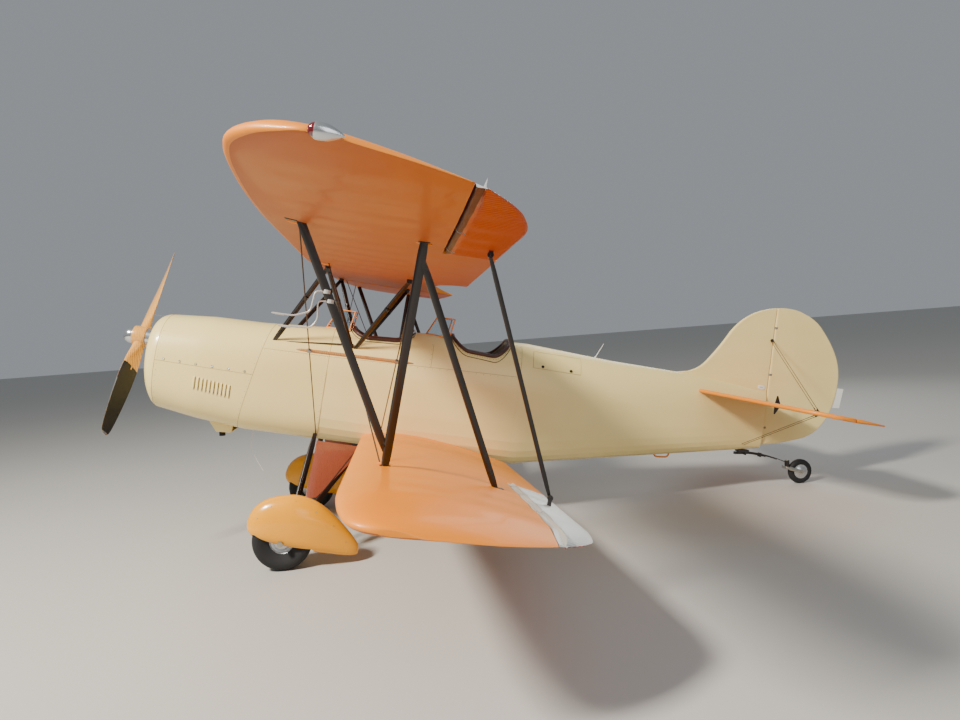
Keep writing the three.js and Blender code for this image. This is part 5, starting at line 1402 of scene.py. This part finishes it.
settle(stabiliser, "stabiliser_cover", orange_top, "airframe", "stabiliser",
       TAILPLANE_PLACE, crease=38)

# Tail bracing: pairs of thin streamlined wires from the fin to the stabiliser and down to the stern
for side_name, side in SIDES:
    wires = []
    for gap in (-0.014, 0.014):
        def bolt_at(z):
            return BODY.inverted() @ TAILPLANE_PLACE @ Vector((0.280 + gap, side * 0.950, z))
        wires += [brace_wire(bolt_at(0.020), (5.600 + gap, side * 0.012, 0.880), 0.045, 0.0022),
                  brace_wire(bolt_at(-0.020), (5.470 + gap, side * 0.010, -0.140), 0.045, 0.0022)]
    middle = BODY.inverted() @ TAILPLANE_PLACE
    fitting = rod(middle @ Vector((0.280, side * 0.950, -0.030)),
                  middle @ Vector((0.280, side * 0.950, 0.030)), 0.0065, 16)
    plates = [rod(middle @ Vector((0.280, side * 0.950, z)),
                  middle @ Vector((0.280, side * 0.950, z + 0.004)), 0.020, 24) for z in (-0.021, 0.017)]
    plates.append(rod((5.600, side * 0.0172, 0.880), (5.600, side * 0.024, 0.880), 0.014, 24))
    settle([fitting, *wires, *plates], f"tail_brace_wires_{side_name}", wire_steel, "airframe",
           f"tail_wires_{side_name}")

# Cockpit coamings: rolled pads of dark brown leather round each mouth, sewn along the lower edge; the lacing
# at the back isn't drawn. Each starts as a thinner roll and is filled out by a cloth simulation.


def resample(path, pitch, closed=True):
    """Even points along a path."""
    points = [Vector(p) for p in path]
    if closed:
        points.append(points[0])
    lengths = [(b - a).length for a, b in zip(points, points[1:])]
    total = sum(lengths)
    count = max(3, round(total / pitch))
    result = []
    for i in range(count if closed else count + 1):
        want = total * i / count
        k = 0
        while k < len(lengths) - 1 and want > lengths[k]:
            want -= lengths[k]
            k += 1
        result.append(points[k].lerp(points[k + 1], min(1, want / lengths[k]) if lengths[k] else 0))
    return result


def leather(name, colour, scale=260, gloss=0.42, relief=0.5):
    """Leather: small closed cells pressed into the hide, with soft creases."""
    material = finish(name, colour, gloss, coat=0.1, shade=0.35, patch=14, grain_scale=scale * 2,
                      relief=relief * 0.4)
    tree = material.node_tree
    place = add_node(tree, "TexCoord")
    cells = add_node(tree, "TexVoronoi", feature="DISTANCE_TO_EDGE", sockets={"Scale": float(scale)})
    crease = add_node(tree, "TexNoise", sockets={"Scale": 22.0, "Detail": 4.0})
    height = add_node(tree, "Math", operation="MULTIPLY_ADD", sockets={1: 0.35})
    pressed = add_node(tree, "Bump", sockets={"Strength": relief, "Distance": 0.003})
    wire(tree, (place.outputs["Object"], cells.inputs["Vector"]),
         (place.outputs["Object"], crease.inputs["Vector"]),
         (crease.outputs["Fac"], height.inputs[0]), (cells.outputs["Distance"], height.inputs[2]),
         (height.outputs[0], pressed.inputs["Height"]),
         (tree.nodes["aged"].outputs["Normal"], pressed.inputs["Normal"]),
         (pressed.outputs["Normal"], tree.nodes["Principled BSDF"].inputs["Normal"]))
    return material


def fill_out(obj, voxel, pressure, cap):
    """Swell a closed soft shape by a short cloth simulation, hold each point within a cap, and smooth it."""
    bpy.context.view_layer.objects.active = obj
    remesh = obj.modifiers.new("even", "REMESH")
    remesh.mode = "VOXEL"
    remesh.voxel_size = voxel
    graph = bpy.context.evaluated_depsgraph_get()
    even = bpy.data.meshes.new_from_object(obj.evaluated_get(graph))
    obj.modifiers.clear()
    materials = list(obj.data.materials)
    obj.data = even
    obj.data.materials.clear()
    for material in materials:
        obj.data.materials.append(material)
    before = [vert.co.copy() for vert in even.vertices]
    cloth = obj.modifiers.new("fill", "CLOTH")
    cloth.settings.use_pressure = True
    cloth.settings.uniform_pressure_force = pressure
    cloth.settings.effector_weights.gravity = 0
    cloth.settings.quality = 3
    for step in range(1, 21):
        scene.frame_set(step)
    graph = bpy.context.evaluated_depsgraph_get()
    filled = bpy.data.meshes.new_from_object(obj.evaluated_get(graph))
    obj.modifiers.clear()
    scene.frame_set(1)
    for vert, start in zip(filled.vertices, before):
        move = vert.co - start
        if move.length > cap:
            vert.co = start + move * (cap / move.length)
    obj.data = filled
    finer = obj.modifiers.new("finer", "SUBSURF")
    finer.levels = finer.render_levels = 1
    graph = bpy.context.evaluated_depsgraph_get()
    obj.data = bpy.data.meshes.new_from_object(obj.evaluated_get(graph))
    obj.modifiers.clear()
    smooth(obj, 60)


def bent_rod(bends, pitch, radius, around, y=0):
    """A round rod through x and z places at one y."""
    path = resample([(x, y, z) for x, z in bends], pitch, closed=False)
    return tube(path, radius, around, lift=(0, 1, 0))


coaming_leather = leather("coaming_leather", "#43231a", 240, 0.38)
coaming_thread = finish("waxed_thread", "#20120d", 0.6, relief=0.3)
for cockpit in COCKPITS:
    loop = resample([(x, y, 0) for x, y in mouth_outline(cockpit, 0.009)], 0.016)
    crest = [Vector((p.x, p.y, skin_top(p.x, p.y) + 0.010)) for p in loop]
    roll = settle(tube(crest, 0.0175, 16, closed=True), f"{cockpit}_coaming_roll", coaming_leather,
                  "airframe", f"{cockpit}_coaming", crease=180)
    fill_out(roll, 0.006, 4.0, 0.005)
    foot = resample([(x, y, 0) for x, y in mouth_outline(cockpit, 0.0285)], 0.016)
    piping = tube([Vector((p.x, p.y, skin_top(p.x, p.y) + 0.002)) for p in foot], 0.0032, 8, closed=True)
    stitches = []
    spots = resample([(x, y, 0) for x, y in mouth_outline(cockpit, 0.0235)], 0.011)
    for a, b in zip(spots[::2], spots[1::2]):
        a = Vector((a.x, a.y, skin_top(a.x, a.y) + 0.0125))
        b = Vector((b.x, b.y, skin_top(b.x, b.y) + 0.0125))
        stitches.append(rod(a, a.lerp(b, 0.72), 0.0013, 5))
    settle(piping, f"{cockpit}_coaming_piping", coaming_leather, "airframe")
    settle(stitches, f"{cockpit}_coaming_stitches", coaming_thread, "airframe")

# Seats: a formed sheet pan and back on the floor, with a leather cushion and back pad sewn in two channels
seat_leather = leather("seat_leather", "#6e4326", 200, 0.46)
pan_paint = finish("seat_pan_grey", "#6f706a", 0.5, metallic=0.2, shade=0.2, patch=8, grain_scale=200)
belt_web = finish("belt_webbing", "#2f3338", 0.8, shade=0.2, patch=30, grain_scale=900, relief=0.6)


def cushion(name, size, matrix, channels):
    """A crowned cushion of a size, lying in x and y, whose sides pull in between its corners."""
    bm = bmesh.new()
    bmesh.ops.create_cube(bm, size=1)
    bmesh.ops.subdivide_edges(bm, edges=bm.edges[:], cuts=9, use_grid_fill=True)
    for vert in bm.verts:
        x, y, z = vert.co * 2
        pull = 1 - 0.045 * (1 - y * y) if abs(x) > 0.99 else 1 - 0.02 * (1 - y * y)
        pull_y = 1 - 0.045 * (1 - x * x)
        crown = (1 - x ** 4) * (1 - y ** 4)
        vert.co = Vector((x * pull * size[0] / 2, y * pull_y * size[1] / 2,
                          z * size[2] / 2 * (0.55 + 0.45 * crown)))
    piece = settle(bm, name, seat_leather, "airframe", place=BODY @ matrix, crease=180)
    fill_out(piece, 0.006, 4.0, 0.008)
    seams = []
    for k in range(1, channels + 1):
        y = size[1] * (k / (channels + 1) - 0.5)
        line = [Vector((size[0] * 0.46 * t, y, size[2] / 2 * (0.55 + 0.45 * (1 - t ** 4 * 0.9)) + 0.0065))
                for t in (i / 8 - 1 for i in range(17))]
        seams.append(tube(line, 0.0022, 6))
    rim = []
    for i in range(64):
        a = 2 * pi * i / 64
        cx, cy = copysign(abs(cos(a)) ** 0.28, cos(a)), copysign(abs(sin(a)) ** 0.28, sin(a))
        x = cx * size[0] / 2 * (1 - 0.04 * (1 - cy * cy)) + copysign(0.005, cx)
        y = cy * size[1] / 2 * (1 - 0.04 * (1 - cx * cx)) + copysign(0.005, cy)
        rim.append(Vector((x, y, 0)))
    seams.append(tube(rim, 0.0028, 6, closed=True))
    settle(seams, name + "_seams", coaming_thread, "airframe", place=BODY @ matrix)


def strap_point(run):
    """A flat strap along a path."""
    def place(i, turn):
        c, s = cos(2 * pi * turn), sin(2 * pi * turn)
        thick = 0.0012 * copysign(abs(s) ** 0.5, s)
        return run[int(i)] + Vector((thick, 0.022 * copysign(abs(c) ** 0.3, c), thick))
    return place


for cockpit, (_, back, _) in COCKPITS.items():
    b = back - 0.010
    pan = side_plate([(b - 0.420, FLOOR_Z), (b - 0.080, FLOOR_Z), (b - 0.030, -0.250), (b + 0.020, 0.170),
                      (b + 0.006, 0.170), (b - 0.046, -0.240), (b - 0.090, -0.292), (b - 0.425, -0.292)],
                     0.208, 0.004)
    settle(pan, f"{cockpit}_seat_pan", pan_paint, "airframe", f"{cockpit}_seat")
    lean = atan2(0.052, 0.410)
    cushion(f"{cockpit}_seat_cushion", (0.325, 0.385, 0.062), Matrix.Translation((b - 0.262, 0, -0.256)),
            2)
    cushion(f"{cockpit}_back_cushion", (0.385, 0.385, 0.038),
            Matrix.Translation((b - 0.043, 0, -0.020)) @ Matrix.Rotation(pi / 2 + lean - pi, 4, "Y"),
            2)
    belts = []
    for y in (-0.120, 0.120):
        for way in ([(b - 0.020, y * 0.8, 0.185), (b - 0.080, y * 0.75, 0.06), (b - 0.100, y * 0.7, -0.10),
                     (b - 0.150, y * 0.5, -0.205)],
                    [(b - 0.09, y * 1.55, -0.215), (b - 0.14, y * 1.2, -0.203),
                     (b - 0.19, y * 0.55, -0.205)]):
            run = resample([Vector(p) for p in way], 0.02, closed=False)
            belts.append(draw_out(range(len(run)), strap_point(run), 12))
    settle(belts, f"{cockpit}_seat_belts", belt_web, "airframe")
    buckle = join_meshes(block((b - 0.205, -0.036, -0.207), (b - 0.135, 0.036, -0.196), 0.004),
                         block((b - 0.190, -0.014, -0.198), (b - 0.150, 0.014, -0.190), 0.003))
    settle(buckle, f"{cockpit}_belt_buckle", bolt_steel, "airframe")

# Instrument panels: an aluminium plate on each bulkhead with round flying instruments and switches, a
# control stick with its grip (its leather boot isn't drawn), floor boards and rudder pedals
panel_grey = finish("instrument_panel_grey", "#35373a", 0.45, metallic=0.3, shade=0.2, patch=20,
                    grain_scale=500, relief=0.2)
dial_black = finish("dial_black", "#0c0c0d", 0.4, coat=0.6, shade=0.1)
dial_white = finish("dial_white", "#e9e7df", 0.5, shade=0.05)
board_wood = wood_finish("floor_board_ply", "#a9804f", "#6d4a26", (0.2, 1, 1), 40, gloss=0.45)
for cockpit, (front, back, _) in COCKPITS.items():
    face_x = front - 0.020
    plate = block((face_x, -0.250, 0.045), (face_x + 0.003, 0.250, 0.245), 0.001, 1)
    settle(plate, f"{cockpit}_instrument_panel", panel_grey, "airframe")
    bezels, faces, marks = [], [], []
    for y, z, r in ((-0.165, 0.165, 0.040), (-0.055, 0.175, 0.040), (0.055, 0.175, 0.040),
                    (0.165, 0.165, 0.040), (-0.110, 0.090, 0.029), (0.0, 0.085, 0.029),
                    (0.110, 0.090, 0.029)):
        bezels.append(turned([(r * 0.84, 0.002), (r * 0.84, 0.0075), (r * 0.9, 0.009), (r, 0.007),
                              (r, 0.002), (r * 0.84, 0.002)], 40, axis="X",
                             centre=(face_x + 0.001, y, z)))
        faces.append(rod((face_x + 0.002, y, z), (face_x + 0.0045, y, z), r * 0.86, 40))
        for i in range(10):
            a = radians(-135 + 30 * i)
            start, end = r * 0.62, r * 0.76
            marks.append(rod((face_x + 0.005, y + start * sin(a), z + start * cos(a)),
                             (face_x + 0.005, y + end * sin(a), z + end * cos(a)), 0.0009, 4))
        a = radians(40 * y * 10 + 20)
        marks.append(rod((face_x + 0.0055, y, z),
                         (face_x + 0.0055, y + r * 0.6 * sin(a), z + r * 0.6 * cos(a)), 0.0011, 4))
    for y in (-0.22, -0.195, 0.20, 0.225):
        bezels.append(rod((face_x + 0.002, y, 0.075), (face_x + 0.016, y, 0.085), 0.003, 8))
    settle(bezels, f"{cockpit}_instrument_bezels", dial_black, "airframe")
    settle(faces, f"{cockpit}_instrument_faces", dial_black, "airframe")
    settle(marks, f"{cockpit}_instrument_marks", dial_white, "airframe")
    boards = [block((front - 0.060, y - 0.047, FLOOR_Z), (back - 0.440, y + 0.047, FLOOR_Z + 0.008), 0.0015,
                    1) for y in (-0.15, -0.05, 0.05, 0.15)]
    settle(boards, f"{cockpit}_floor_boards", board_wood, "airframe")
    stick_x = back - 0.500
    stick = bent_rod([(stick_x - 0.04, FLOOR_Z + 0.02), (stick_x, FLOOR_Z + 0.18),
                      (stick_x + 0.015, -0.20), (stick_x + 0.045, -0.08)], 0.02, 0.0105, 16)
    settle(stick, f"{cockpit}_control_stick", pan_paint, "airframe")
    grip = rod((stick_x + 0.022, 0, -0.170), (stick_x + 0.049, 0, -0.065), 0.016, 24, profile=[
        (0, 0.012), (0.006, 0.0165), (0.025, 0.0155), (0.035, 0.0175), (0.055, 0.0160), (0.075, 0.0175),
        (0.098, 0.0150), (0.108, 0.008)])
    settle(grip, f"{cockpit}_stick_grip", dial_black, "airframe")
    pedals = []
    for y in (-0.11, 0.11):
        pedals.append(rod((front - 0.06, y, FLOOR_Z + 0.02), (front - 0.045, y, FLOOR_Z + 0.16), 0.008, 14))
        pedals.append(rod((front - 0.045, y - 0.045, FLOOR_Z + 0.16),
                          (front - 0.045, y + 0.045, FLOOR_Z + 0.16), 0.011, 16))
    settle(pedals, f"{cockpit}_rudder_pedals", pan_paint, "airframe")

# Windshields: three flat acrylic panes bent out of one sheet, in an orange painted frame
pane_clear = bpy.data.materials.new("acrylic_pane")
pane_clear.use_nodes = True
pane_tree = pane_clear.node_tree
pane_shader = pane_tree.nodes["Principled BSDF"]
pane_shader.inputs["Transmission Weight"].default_value = 1.0
pane_shader.inputs["IOR"].default_value = 1.12
pane_shader.inputs["Base Color"].default_value = linear("#eef4f6")
haze = add_node(pane_tree, "TexNoise", sockets={"Scale": 9.0, "Detail": 4.0})
haze_place = add_node(pane_tree, "TexCoord")
haze_range = add_node(pane_tree, "MapRange",
                      sockets={"From Min": 0.3, "From Max": 0.8, "To Min": 0.02, "To Max": 0.12})
wire(pane_tree, (haze_place.outputs["Object"], haze.inputs["Vector"]),
     (haze.outputs["Fac"], haze_range.inputs["Value"]),
     (haze_range.outputs["Result"], pane_shader.inputs["Roughness"]))
frame_orange = finish("windshield_frame_orange", "#e88418", 0.3, coat=0.4, shade=0.1)
for cockpit, nose_x, tail_x in (("front", 1.490, 1.722), ("rear", 2.350, 2.575)):
    top_z = frame_at(tail_x)[2] + 0.150

    def corner(z, rear_corner, side):
        t = (z - (top_z - 0.260)) / 0.260
        x, y, aft, inward = (tail_x, 0.215, 0.040, 0.035) if rear_corner else (nose_x, 0.070, 0.120, 0.020)
        return Vector((x + aft * t, side * (y - inward * t), z))

    def on_pane(start, end, u, z):
        """A point u of the way between two upright edges, each a pair of corner's own settings."""
        return corner(z, *start).lerp(corner(z, *end), u)

    def edge_lines(start, end, count):
        """The pane's foot, laid on the skin, and its level top."""
        foot = []
        for k in range(count + 1):
            z = top_z - 0.15
            for _ in range(8):
                spot = on_pane(start, end, k / count, z)
                z = skin_top(spot.x, spot.y)
            foot.append(on_pane(start, end, k / count, z))
        return foot, [on_pane(start, end, k / count, top_z) for k in range(count + 1)]

    panes, frame_parts = [], []
    for start, end, count in (((False, -1), (True, -1), 10), ((False, 1), (True, 1), 10),
                              ((False, -1), (False, 1), 8)):
        lower, upper = edge_lines(start, end, count)
        half_thick = (lower[-1] - lower[0]).cross(upper[0] - lower[0]).normalized() * 0.0015
        sheet = bmesh.new()
        loops = []
        for line, shift in ((lower, half_thick), (upper, half_thick), (upper, -half_thick),
                            (lower, -half_thick)):
            row = [sheet.verts.new(p + shift) for p in line]
            loops.append([sheet.edges.new(pair) for pair in zip(row, row[1:])])
        for loop, beside in zip(loops, loops[1:] + loops[:1]):
            bmesh.ops.bridge_loops(sheet, edges=loop + beside)
        bmesh.ops.holes_fill(sheet, edges=sheet.edges[:])
        panes.append(sheet)
        frame_parts += [tube([p + Vector((0, 0, 0.002)) for p in lower], 0.0055, 10),
                        tube(upper, 0.0042, 10)]
        if end[0]:
            frame_parts += [tube([lower[-1], upper[-1]], 0.0055, 10, lift=(1, 0, 0)),
                            tube([lower[0], upper[0]], 0.0050, 10, lift=(1, 0, 0))]
    settle(panes, f"{cockpit}_windshield_panes", pane_clear, "airframe",
           f"{cockpit}_windshield", crease=20)
    settle(frame_parts, f"{cockpit}_windshield_frame", frame_orange, "airframe")

# Seams and fasteners: the joints of the sheet metal panels show as fine dark lines with rows of screws,
# and the cowling's level seam has quarter-turn fasteners.
seam_dark = finish("panel_seam_shadow", "#8b7d52", 0.7, shade=0.2)
screw_steel = finish("panel_screw_heads", "#a19a80", 0.4, metallic=0.7, shade=0.2, patch=50)


def on_side(side, x, z, proud=0.0):
    return Vector((x, side * (skin_side(x, z) + proud), z))


def side_run(side, points, pitch=0.02, proud=0.0):
    """A path drawn on one side of the fuselage through x and z places."""
    flat = resample([Vector((x, 0, z)) for x, z in points], pitch, closed=False)
    return [on_side(side, p.x, p.z, proud) for p in flat]


def heads(points, radius=0.0036, sink=0.0018):
    parts = []
    for p in points:
        inward = Vector((0, -copysign(sink, p.y), 0)) if abs(p.y) > 0.1 else Vector((0, 0, -sink))
        parts.append(ball(p + inward, (radius, radius, radius), 8, 4))
    return parts


def ring_run(x_of, count=120):
    """A path right round the fuselage, at an x that may change with height."""
    turns = [i / count for i in range(count)]
    return [hull_point(x_of(hull_point(1.0, turn).z), turn) for turn in turns]


seams, screws = [], []
for side in (-1, 1):
    seams.append(tube(side_run(side, [(BOWL_SEAM, SPLIT_Z), (1.040, SPLIT_Z)]), 0.0014, 6))
    seams.append(tube(side_run(side, [(1.085, 0.085), (1.630, 0.100), (2.620, 0.150), (3.080, 0.170),
                                      (3.235, 0.176)]), 0.0013, 6))
    screws += heads(side_run(side, [(1.100, 0.073), (1.630, 0.088), (2.620, 0.138), (3.080, 0.158),
                                    (3.230, 0.164)], 0.062))
    seams.append(tube(side_run(side, [(3.236, 0.176), (3.236, 0.330), (3.236, 0.440)]), 0.0012, 6))
    screws += heads(side_run(side, [(3.222, 0.190), (3.222, 0.430)], 0.045))
    screws += heads(side_run(side, [(2.450, 0.165), (2.450, 0.330)], 0.045))
    seams.append(tube(side_run(side, [(2.462, 0.142), (2.462, 0.335)]), 0.0012, 6))
    # the bowl's screws run on the lower and upper shells just behind its seam
    screws += heads(side_run(side, [(0.284, -0.170), (0.284, -0.500)], 0.047))
    screws += heads(side_run(side, [(0.284, -0.110), (0.284, 0.150)], 0.052))
    for i in range(17):
        z = 0.24 - 0.048 * i
        screws += heads([on_side(side, firewall_x(z) - 0.016, z)])
    for i in range(16):
        screws += heads([on_side(side, PANEL_SEAM_X - 0.014, 0.24 - 0.05 * i)])
for x_of in (lambda z: BOWL_SEAM, firewall_x, lambda z: PANEL_SEAM_X):
    seams.append(tube(ring_run(x_of), 0.0013, 6, closed=True, lift=(1, 0, 0)))
settle(seams, "panel_seams", seam_dark, "airframe")
settle(screws, "panel_screws", screw_steel, "airframe")

fasteners = []
for side in (-1, 1):
    for i in range(6):
        at = on_side(side, 0.335 + 0.128 * i, SPLIT_Z + 0.016)
        out = Vector((0, side, 0))
        fasteners.append(rod(at - out * 0.002, at + out * 0.0022, 0.0095, 20))
        fasteners.append(rod(at + out * 0.001, at + out * 0.0040, 0.0062, 16))
        slot_way = Vector((0.005, 0, 0.003))
        fasteners.append(rod(at + out * 0.0045 - slot_way, at + out * 0.0045 + slot_way, 0.0008, 4))
settle(fasteners, "cowl_fasteners", bolt_steel, "airframe")

# Louvres: ten pressed hoods on each side of the lower cowling, each with a near-black rod behind it as
# painted shade in its slit
hoods, slits = [], []
for side in (-1, 1):
    for i in range(10):
        x = 0.600 + 0.031 * i
        top, low = -0.218 - 0.0035 * i, -0.330 - 0.0035 * i
        middle = (top + low) / 2
        at = on_side(side, x, middle)
        hood = ball((0, 0, 0), (1, 1, 1), 16, 16)
        for vert in hood.verts:
            # the front slopes up gently and the back ends steeply over the slit
            vert.co.x = vert.co.x if vert.co.x < 0 else vert.co.x * 0.35
            vert.co.z = copysign(abs(vert.co.z) ** 0.55, vert.co.z)
        slope = (skin_side(x, top) - skin_side(x, low)) / (top - low)
        lean = Matrix.Translation(at) @ Matrix.Rotation(-side * atan2(slope, 1), 4, "X")
        bmesh.ops.transform(hood, matrix=lean @ Matrix.Diagonal((0.013, 0.0075, (top - low) / 2, 1)),
                            verts=hood.verts)
        hoods.append(hood)
        slit = side_run(side, [(x + 0.0058, top - 0.008), (x + 0.0058, low + 0.008)], 0.03)
        slits.append(tube(slit, 0.0022, 6, lift=(1, 0, 0)))
settle(hoods, "cowl_louvres", cream, "airframe")
# near-black for painted shade in the louvre slits and in the sternpost cover's slot
painted_shade_black = finish("louvre_slits_painted_shade", "#1c1a14", 0.8, shade=0.1)
settle(slits, "louvre_slits_painted_shade", painted_shade_black, "airframe")

# Fixed fittings of the fuselage: the lift handle, hatch latches, whip antennas and the cover at the
# sternpost, then the elevators' horns; the hatch hinge and the small handle behind the rear cockpit aren't
# drawn
handle_orange = finish("lift_handle_orange", "#e8861a", 0.3, coat=0.3)
handle = bent_rod([(4.636, -0.300), (4.655, -0.345), (4.672, -0.361), (4.700, -0.362), (4.775, -0.353),
                   (4.792, -0.338), (4.800, -0.285)], 0.012, 0.008, 14)
settle(handle, "lift_handle", handle_orange, "airframe")
latch_parts = []
for x in (3.430, 3.690):
    at = on_side(-1, x, 0.296)
    normal = Vector((0, -0.90, 0.44))
    latch_parts.append(rod(at - normal * 0.002, at + normal * 0.003, 0.013, 24))
    latch_parts.append(block(at + normal * 0.006 - Vector((0.004, 0.003, 0.011)),
                             at + normal * 0.006 + Vector((0.004, 0.003, 0.011)), 0.0015))
latch_black = finish("latch_black", "#23211c", 0.4, metallic=0.4)
settle(latch_parts, "hatch_latches", latch_black, "baggage_hatch")
whip_white = finish("antenna_white", "#e9e8e2", 0.4, shade=0.05)
whip = rod((3.950, 0, skin_top(3.95, 0) - 0.002), (4.010, 0, 0.590), 0.003, 12,
           profile=[(0, 0.010), (0.010, 0.008), (0.016, 0.0035), (0.09, 0.0026), (0.152, 0.0016)])
belly_z = frame_at(1.04)[4]
belly = bent_rod([(1.040, belly_z + 0.003), (1.040, -0.790), (1.050, -0.830), (1.110, -0.915),
                  (1.180, -1.000)], 0.02, 0.0022, 8, y=0.02)
settle([whip, belly], "whip_antennas", whip_white, "airframe")
oval = turned([(0, 0), (0.034, 0), (0.036, 0.002), (0.033, 0.0042), (0, 0.0045)], 40)
oval_place = Matrix.Translation((5.575, -0.0165, 0.430)) @ Matrix.Diagonal((1, -1, 0.62, 1))
bmesh.ops.transform(oval, matrix=oval_place, verts=oval.verts)
bmesh.ops.recalc_face_normals(oval, faces=oval.faces)
settle(oval, "stern_inspection_cover", tab_white, "airframe")
# a near-black rod on the cover is painted shade in its slot
settle(rod((5.560, -0.0213, 0.430), (5.590, -0.0213, 0.430), 0.0012, 6), "cover_slot_painted_shade", painted_shade_black,
       "airframe")
for side in (-1, 1):
    outline = [(0.020, 0.012), (0.075, 0.012), (0.040, 0.085), (0.028, 0.085)]
    horn = plate_of([(x, side * 0.150 - 0.002, z) for x, z in outline], (0, 0.004, 0))
    lower_horn = horn.copy()
    bmesh.ops.scale(lower_horn, verts=lower_horn.verts, vec=(1, 1, -1))
    settle([horn, lower_horn], f"elevator_horn_{'port' if side < 0 else 'starboard'}", strut_black,
           "elevators", place=TAILPLANE_PLACE @ Matrix.Translation((HINGE_X, 0, 0)))

# Wing fittings: aileron hinge eyes and pins, the ears for the aileron rods, the tip lights and the small
# fairings where the wires pass through the fabric
lens_red = finish("nav_lens_red", "#5c0a10", 0.12, coat=1.0, shade=0.1)
lens_green = finish("nav_lens_green", "#0a4a2a", 0.12, coat=1.0, shade=0.1)
lamp_silver = finish("nav_lamp_silver", "#c9cbcc", 0.28, metallic=0.9, shade=0.12)
for side_name, side in SIDES:
    centre = (UPPER["chord"] * 0.36, side * (4.196 - UPPER["root"] - 0.002), 0.008)
    lens = turned([(0, -0.0145), (0.006, -0.0138), (0.012, -0.0112), (0.0175, -0.0066), (0.0215, -0.0005),
                   (0.0245, 0.008), (0, 0.008)], 40, axis="X", centre=centre)
    body = turned([(0, 0.008), (0.0262, 0.008), (0.0275, 0.012), (0.0280, 0.020), (0.0275, 0.034),
                   (0.0262, 0.046), (0.0222, 0.060), (0.0165, 0.074), (0.0095, 0.088), (0.0030, 0.099),
                   (0, 0.100)], 40, axis="X", centre=centre)
    place = wing_place(UPPER, side)
    settle(lens, f"nav_lens_{side_name}", lens_red if side < 0 else lens_green, "airframe",
           place=place)
    settle(body, f"nav_lamp_{side_name}", lamp_silver, "airframe", place=place)
    for level_name, wing, ear_x, ear_y, ear_z in (("upper", UPPER, 0.188, 2.750, -0.030),
                                                  ("lower", LOWER, 0.138, 2.450, 0.060)):
        place = wing_place(wing, side)
        hinge_x = wing["chord"] * wing["hinge"]
        spots = hinge_spots(wing, side)
        at_hinge = place @ Matrix.Translation((hinge_x, 0, AILERON_NOSE_Z))
        settle([hinge_parts(y, AILERON_NOSE + RUN_GAP + 0.010) for y in spots],
               f"{level_name}_aileron_hinge_eyes_{side_name}", bolt_steel, "airframe",
               place=at_hinge)
        settle([pin(y) for y in spots], f"{level_name}_aileron_pins_{side_name}", bolt_steel,
               f"{level_name}_aileron_{side_name}", place=at_hinge)
        y = side * (ear_y - wing["root"])
        z0, z1 = sorted((0.0, ear_z - AILERON_NOSE_Z))
        lug = block((ear_x - 0.012, y - 0.005, z0), (ear_x + 0.012, y + 0.005, z1), 0.001, 1)
        eye = rod((ear_x, y - 0.005, ear_z - AILERON_NOSE_Z), (ear_x, y + 0.005, ear_z - AILERON_NOSE_Z),
                  0.017, 28)
        hole = rod((ear_x, y - 0.03, ear_z - AILERON_NOSE_Z), (ear_x, y + 0.03, ear_z - AILERON_NOSE_Z),
                   0.0045 if level_name == "lower" else 0.0120, 28)
        settle(carve(carve(lug, [eye], "UNION"), [hole]), f"{level_name}_aileron_ear_{side_name}",
               strut_black, f"{level_name}_aileron_{side_name}", place=at_hinge)
    pads = []
    for wing, fraction, y, z_side in ((UPPER, 0.170, BAY_UPPER - 0.060, -1),
                                      (UPPER, REAR_HIGH, BAY_UPPER - 0.060, -1), (UPPER, 0.150, 0.850, -1),
                                      (LOWER, FRONT_LOW, BAY_LOWER - 0.060, 1)):
        height = skin_spot(wing, fraction, y, z_side > 0)[1]
        spot = (wing["chord"] * fraction, side * (y - wing["root"]), height)
        pads.append(ball(spot, (0.046, 0.015, 0.009), 24, 12, BODY.inverted() @ wing_place(wing, side)))
    settle(pads, f"wire_fairings_{side_name}", orange_top, "airframe")
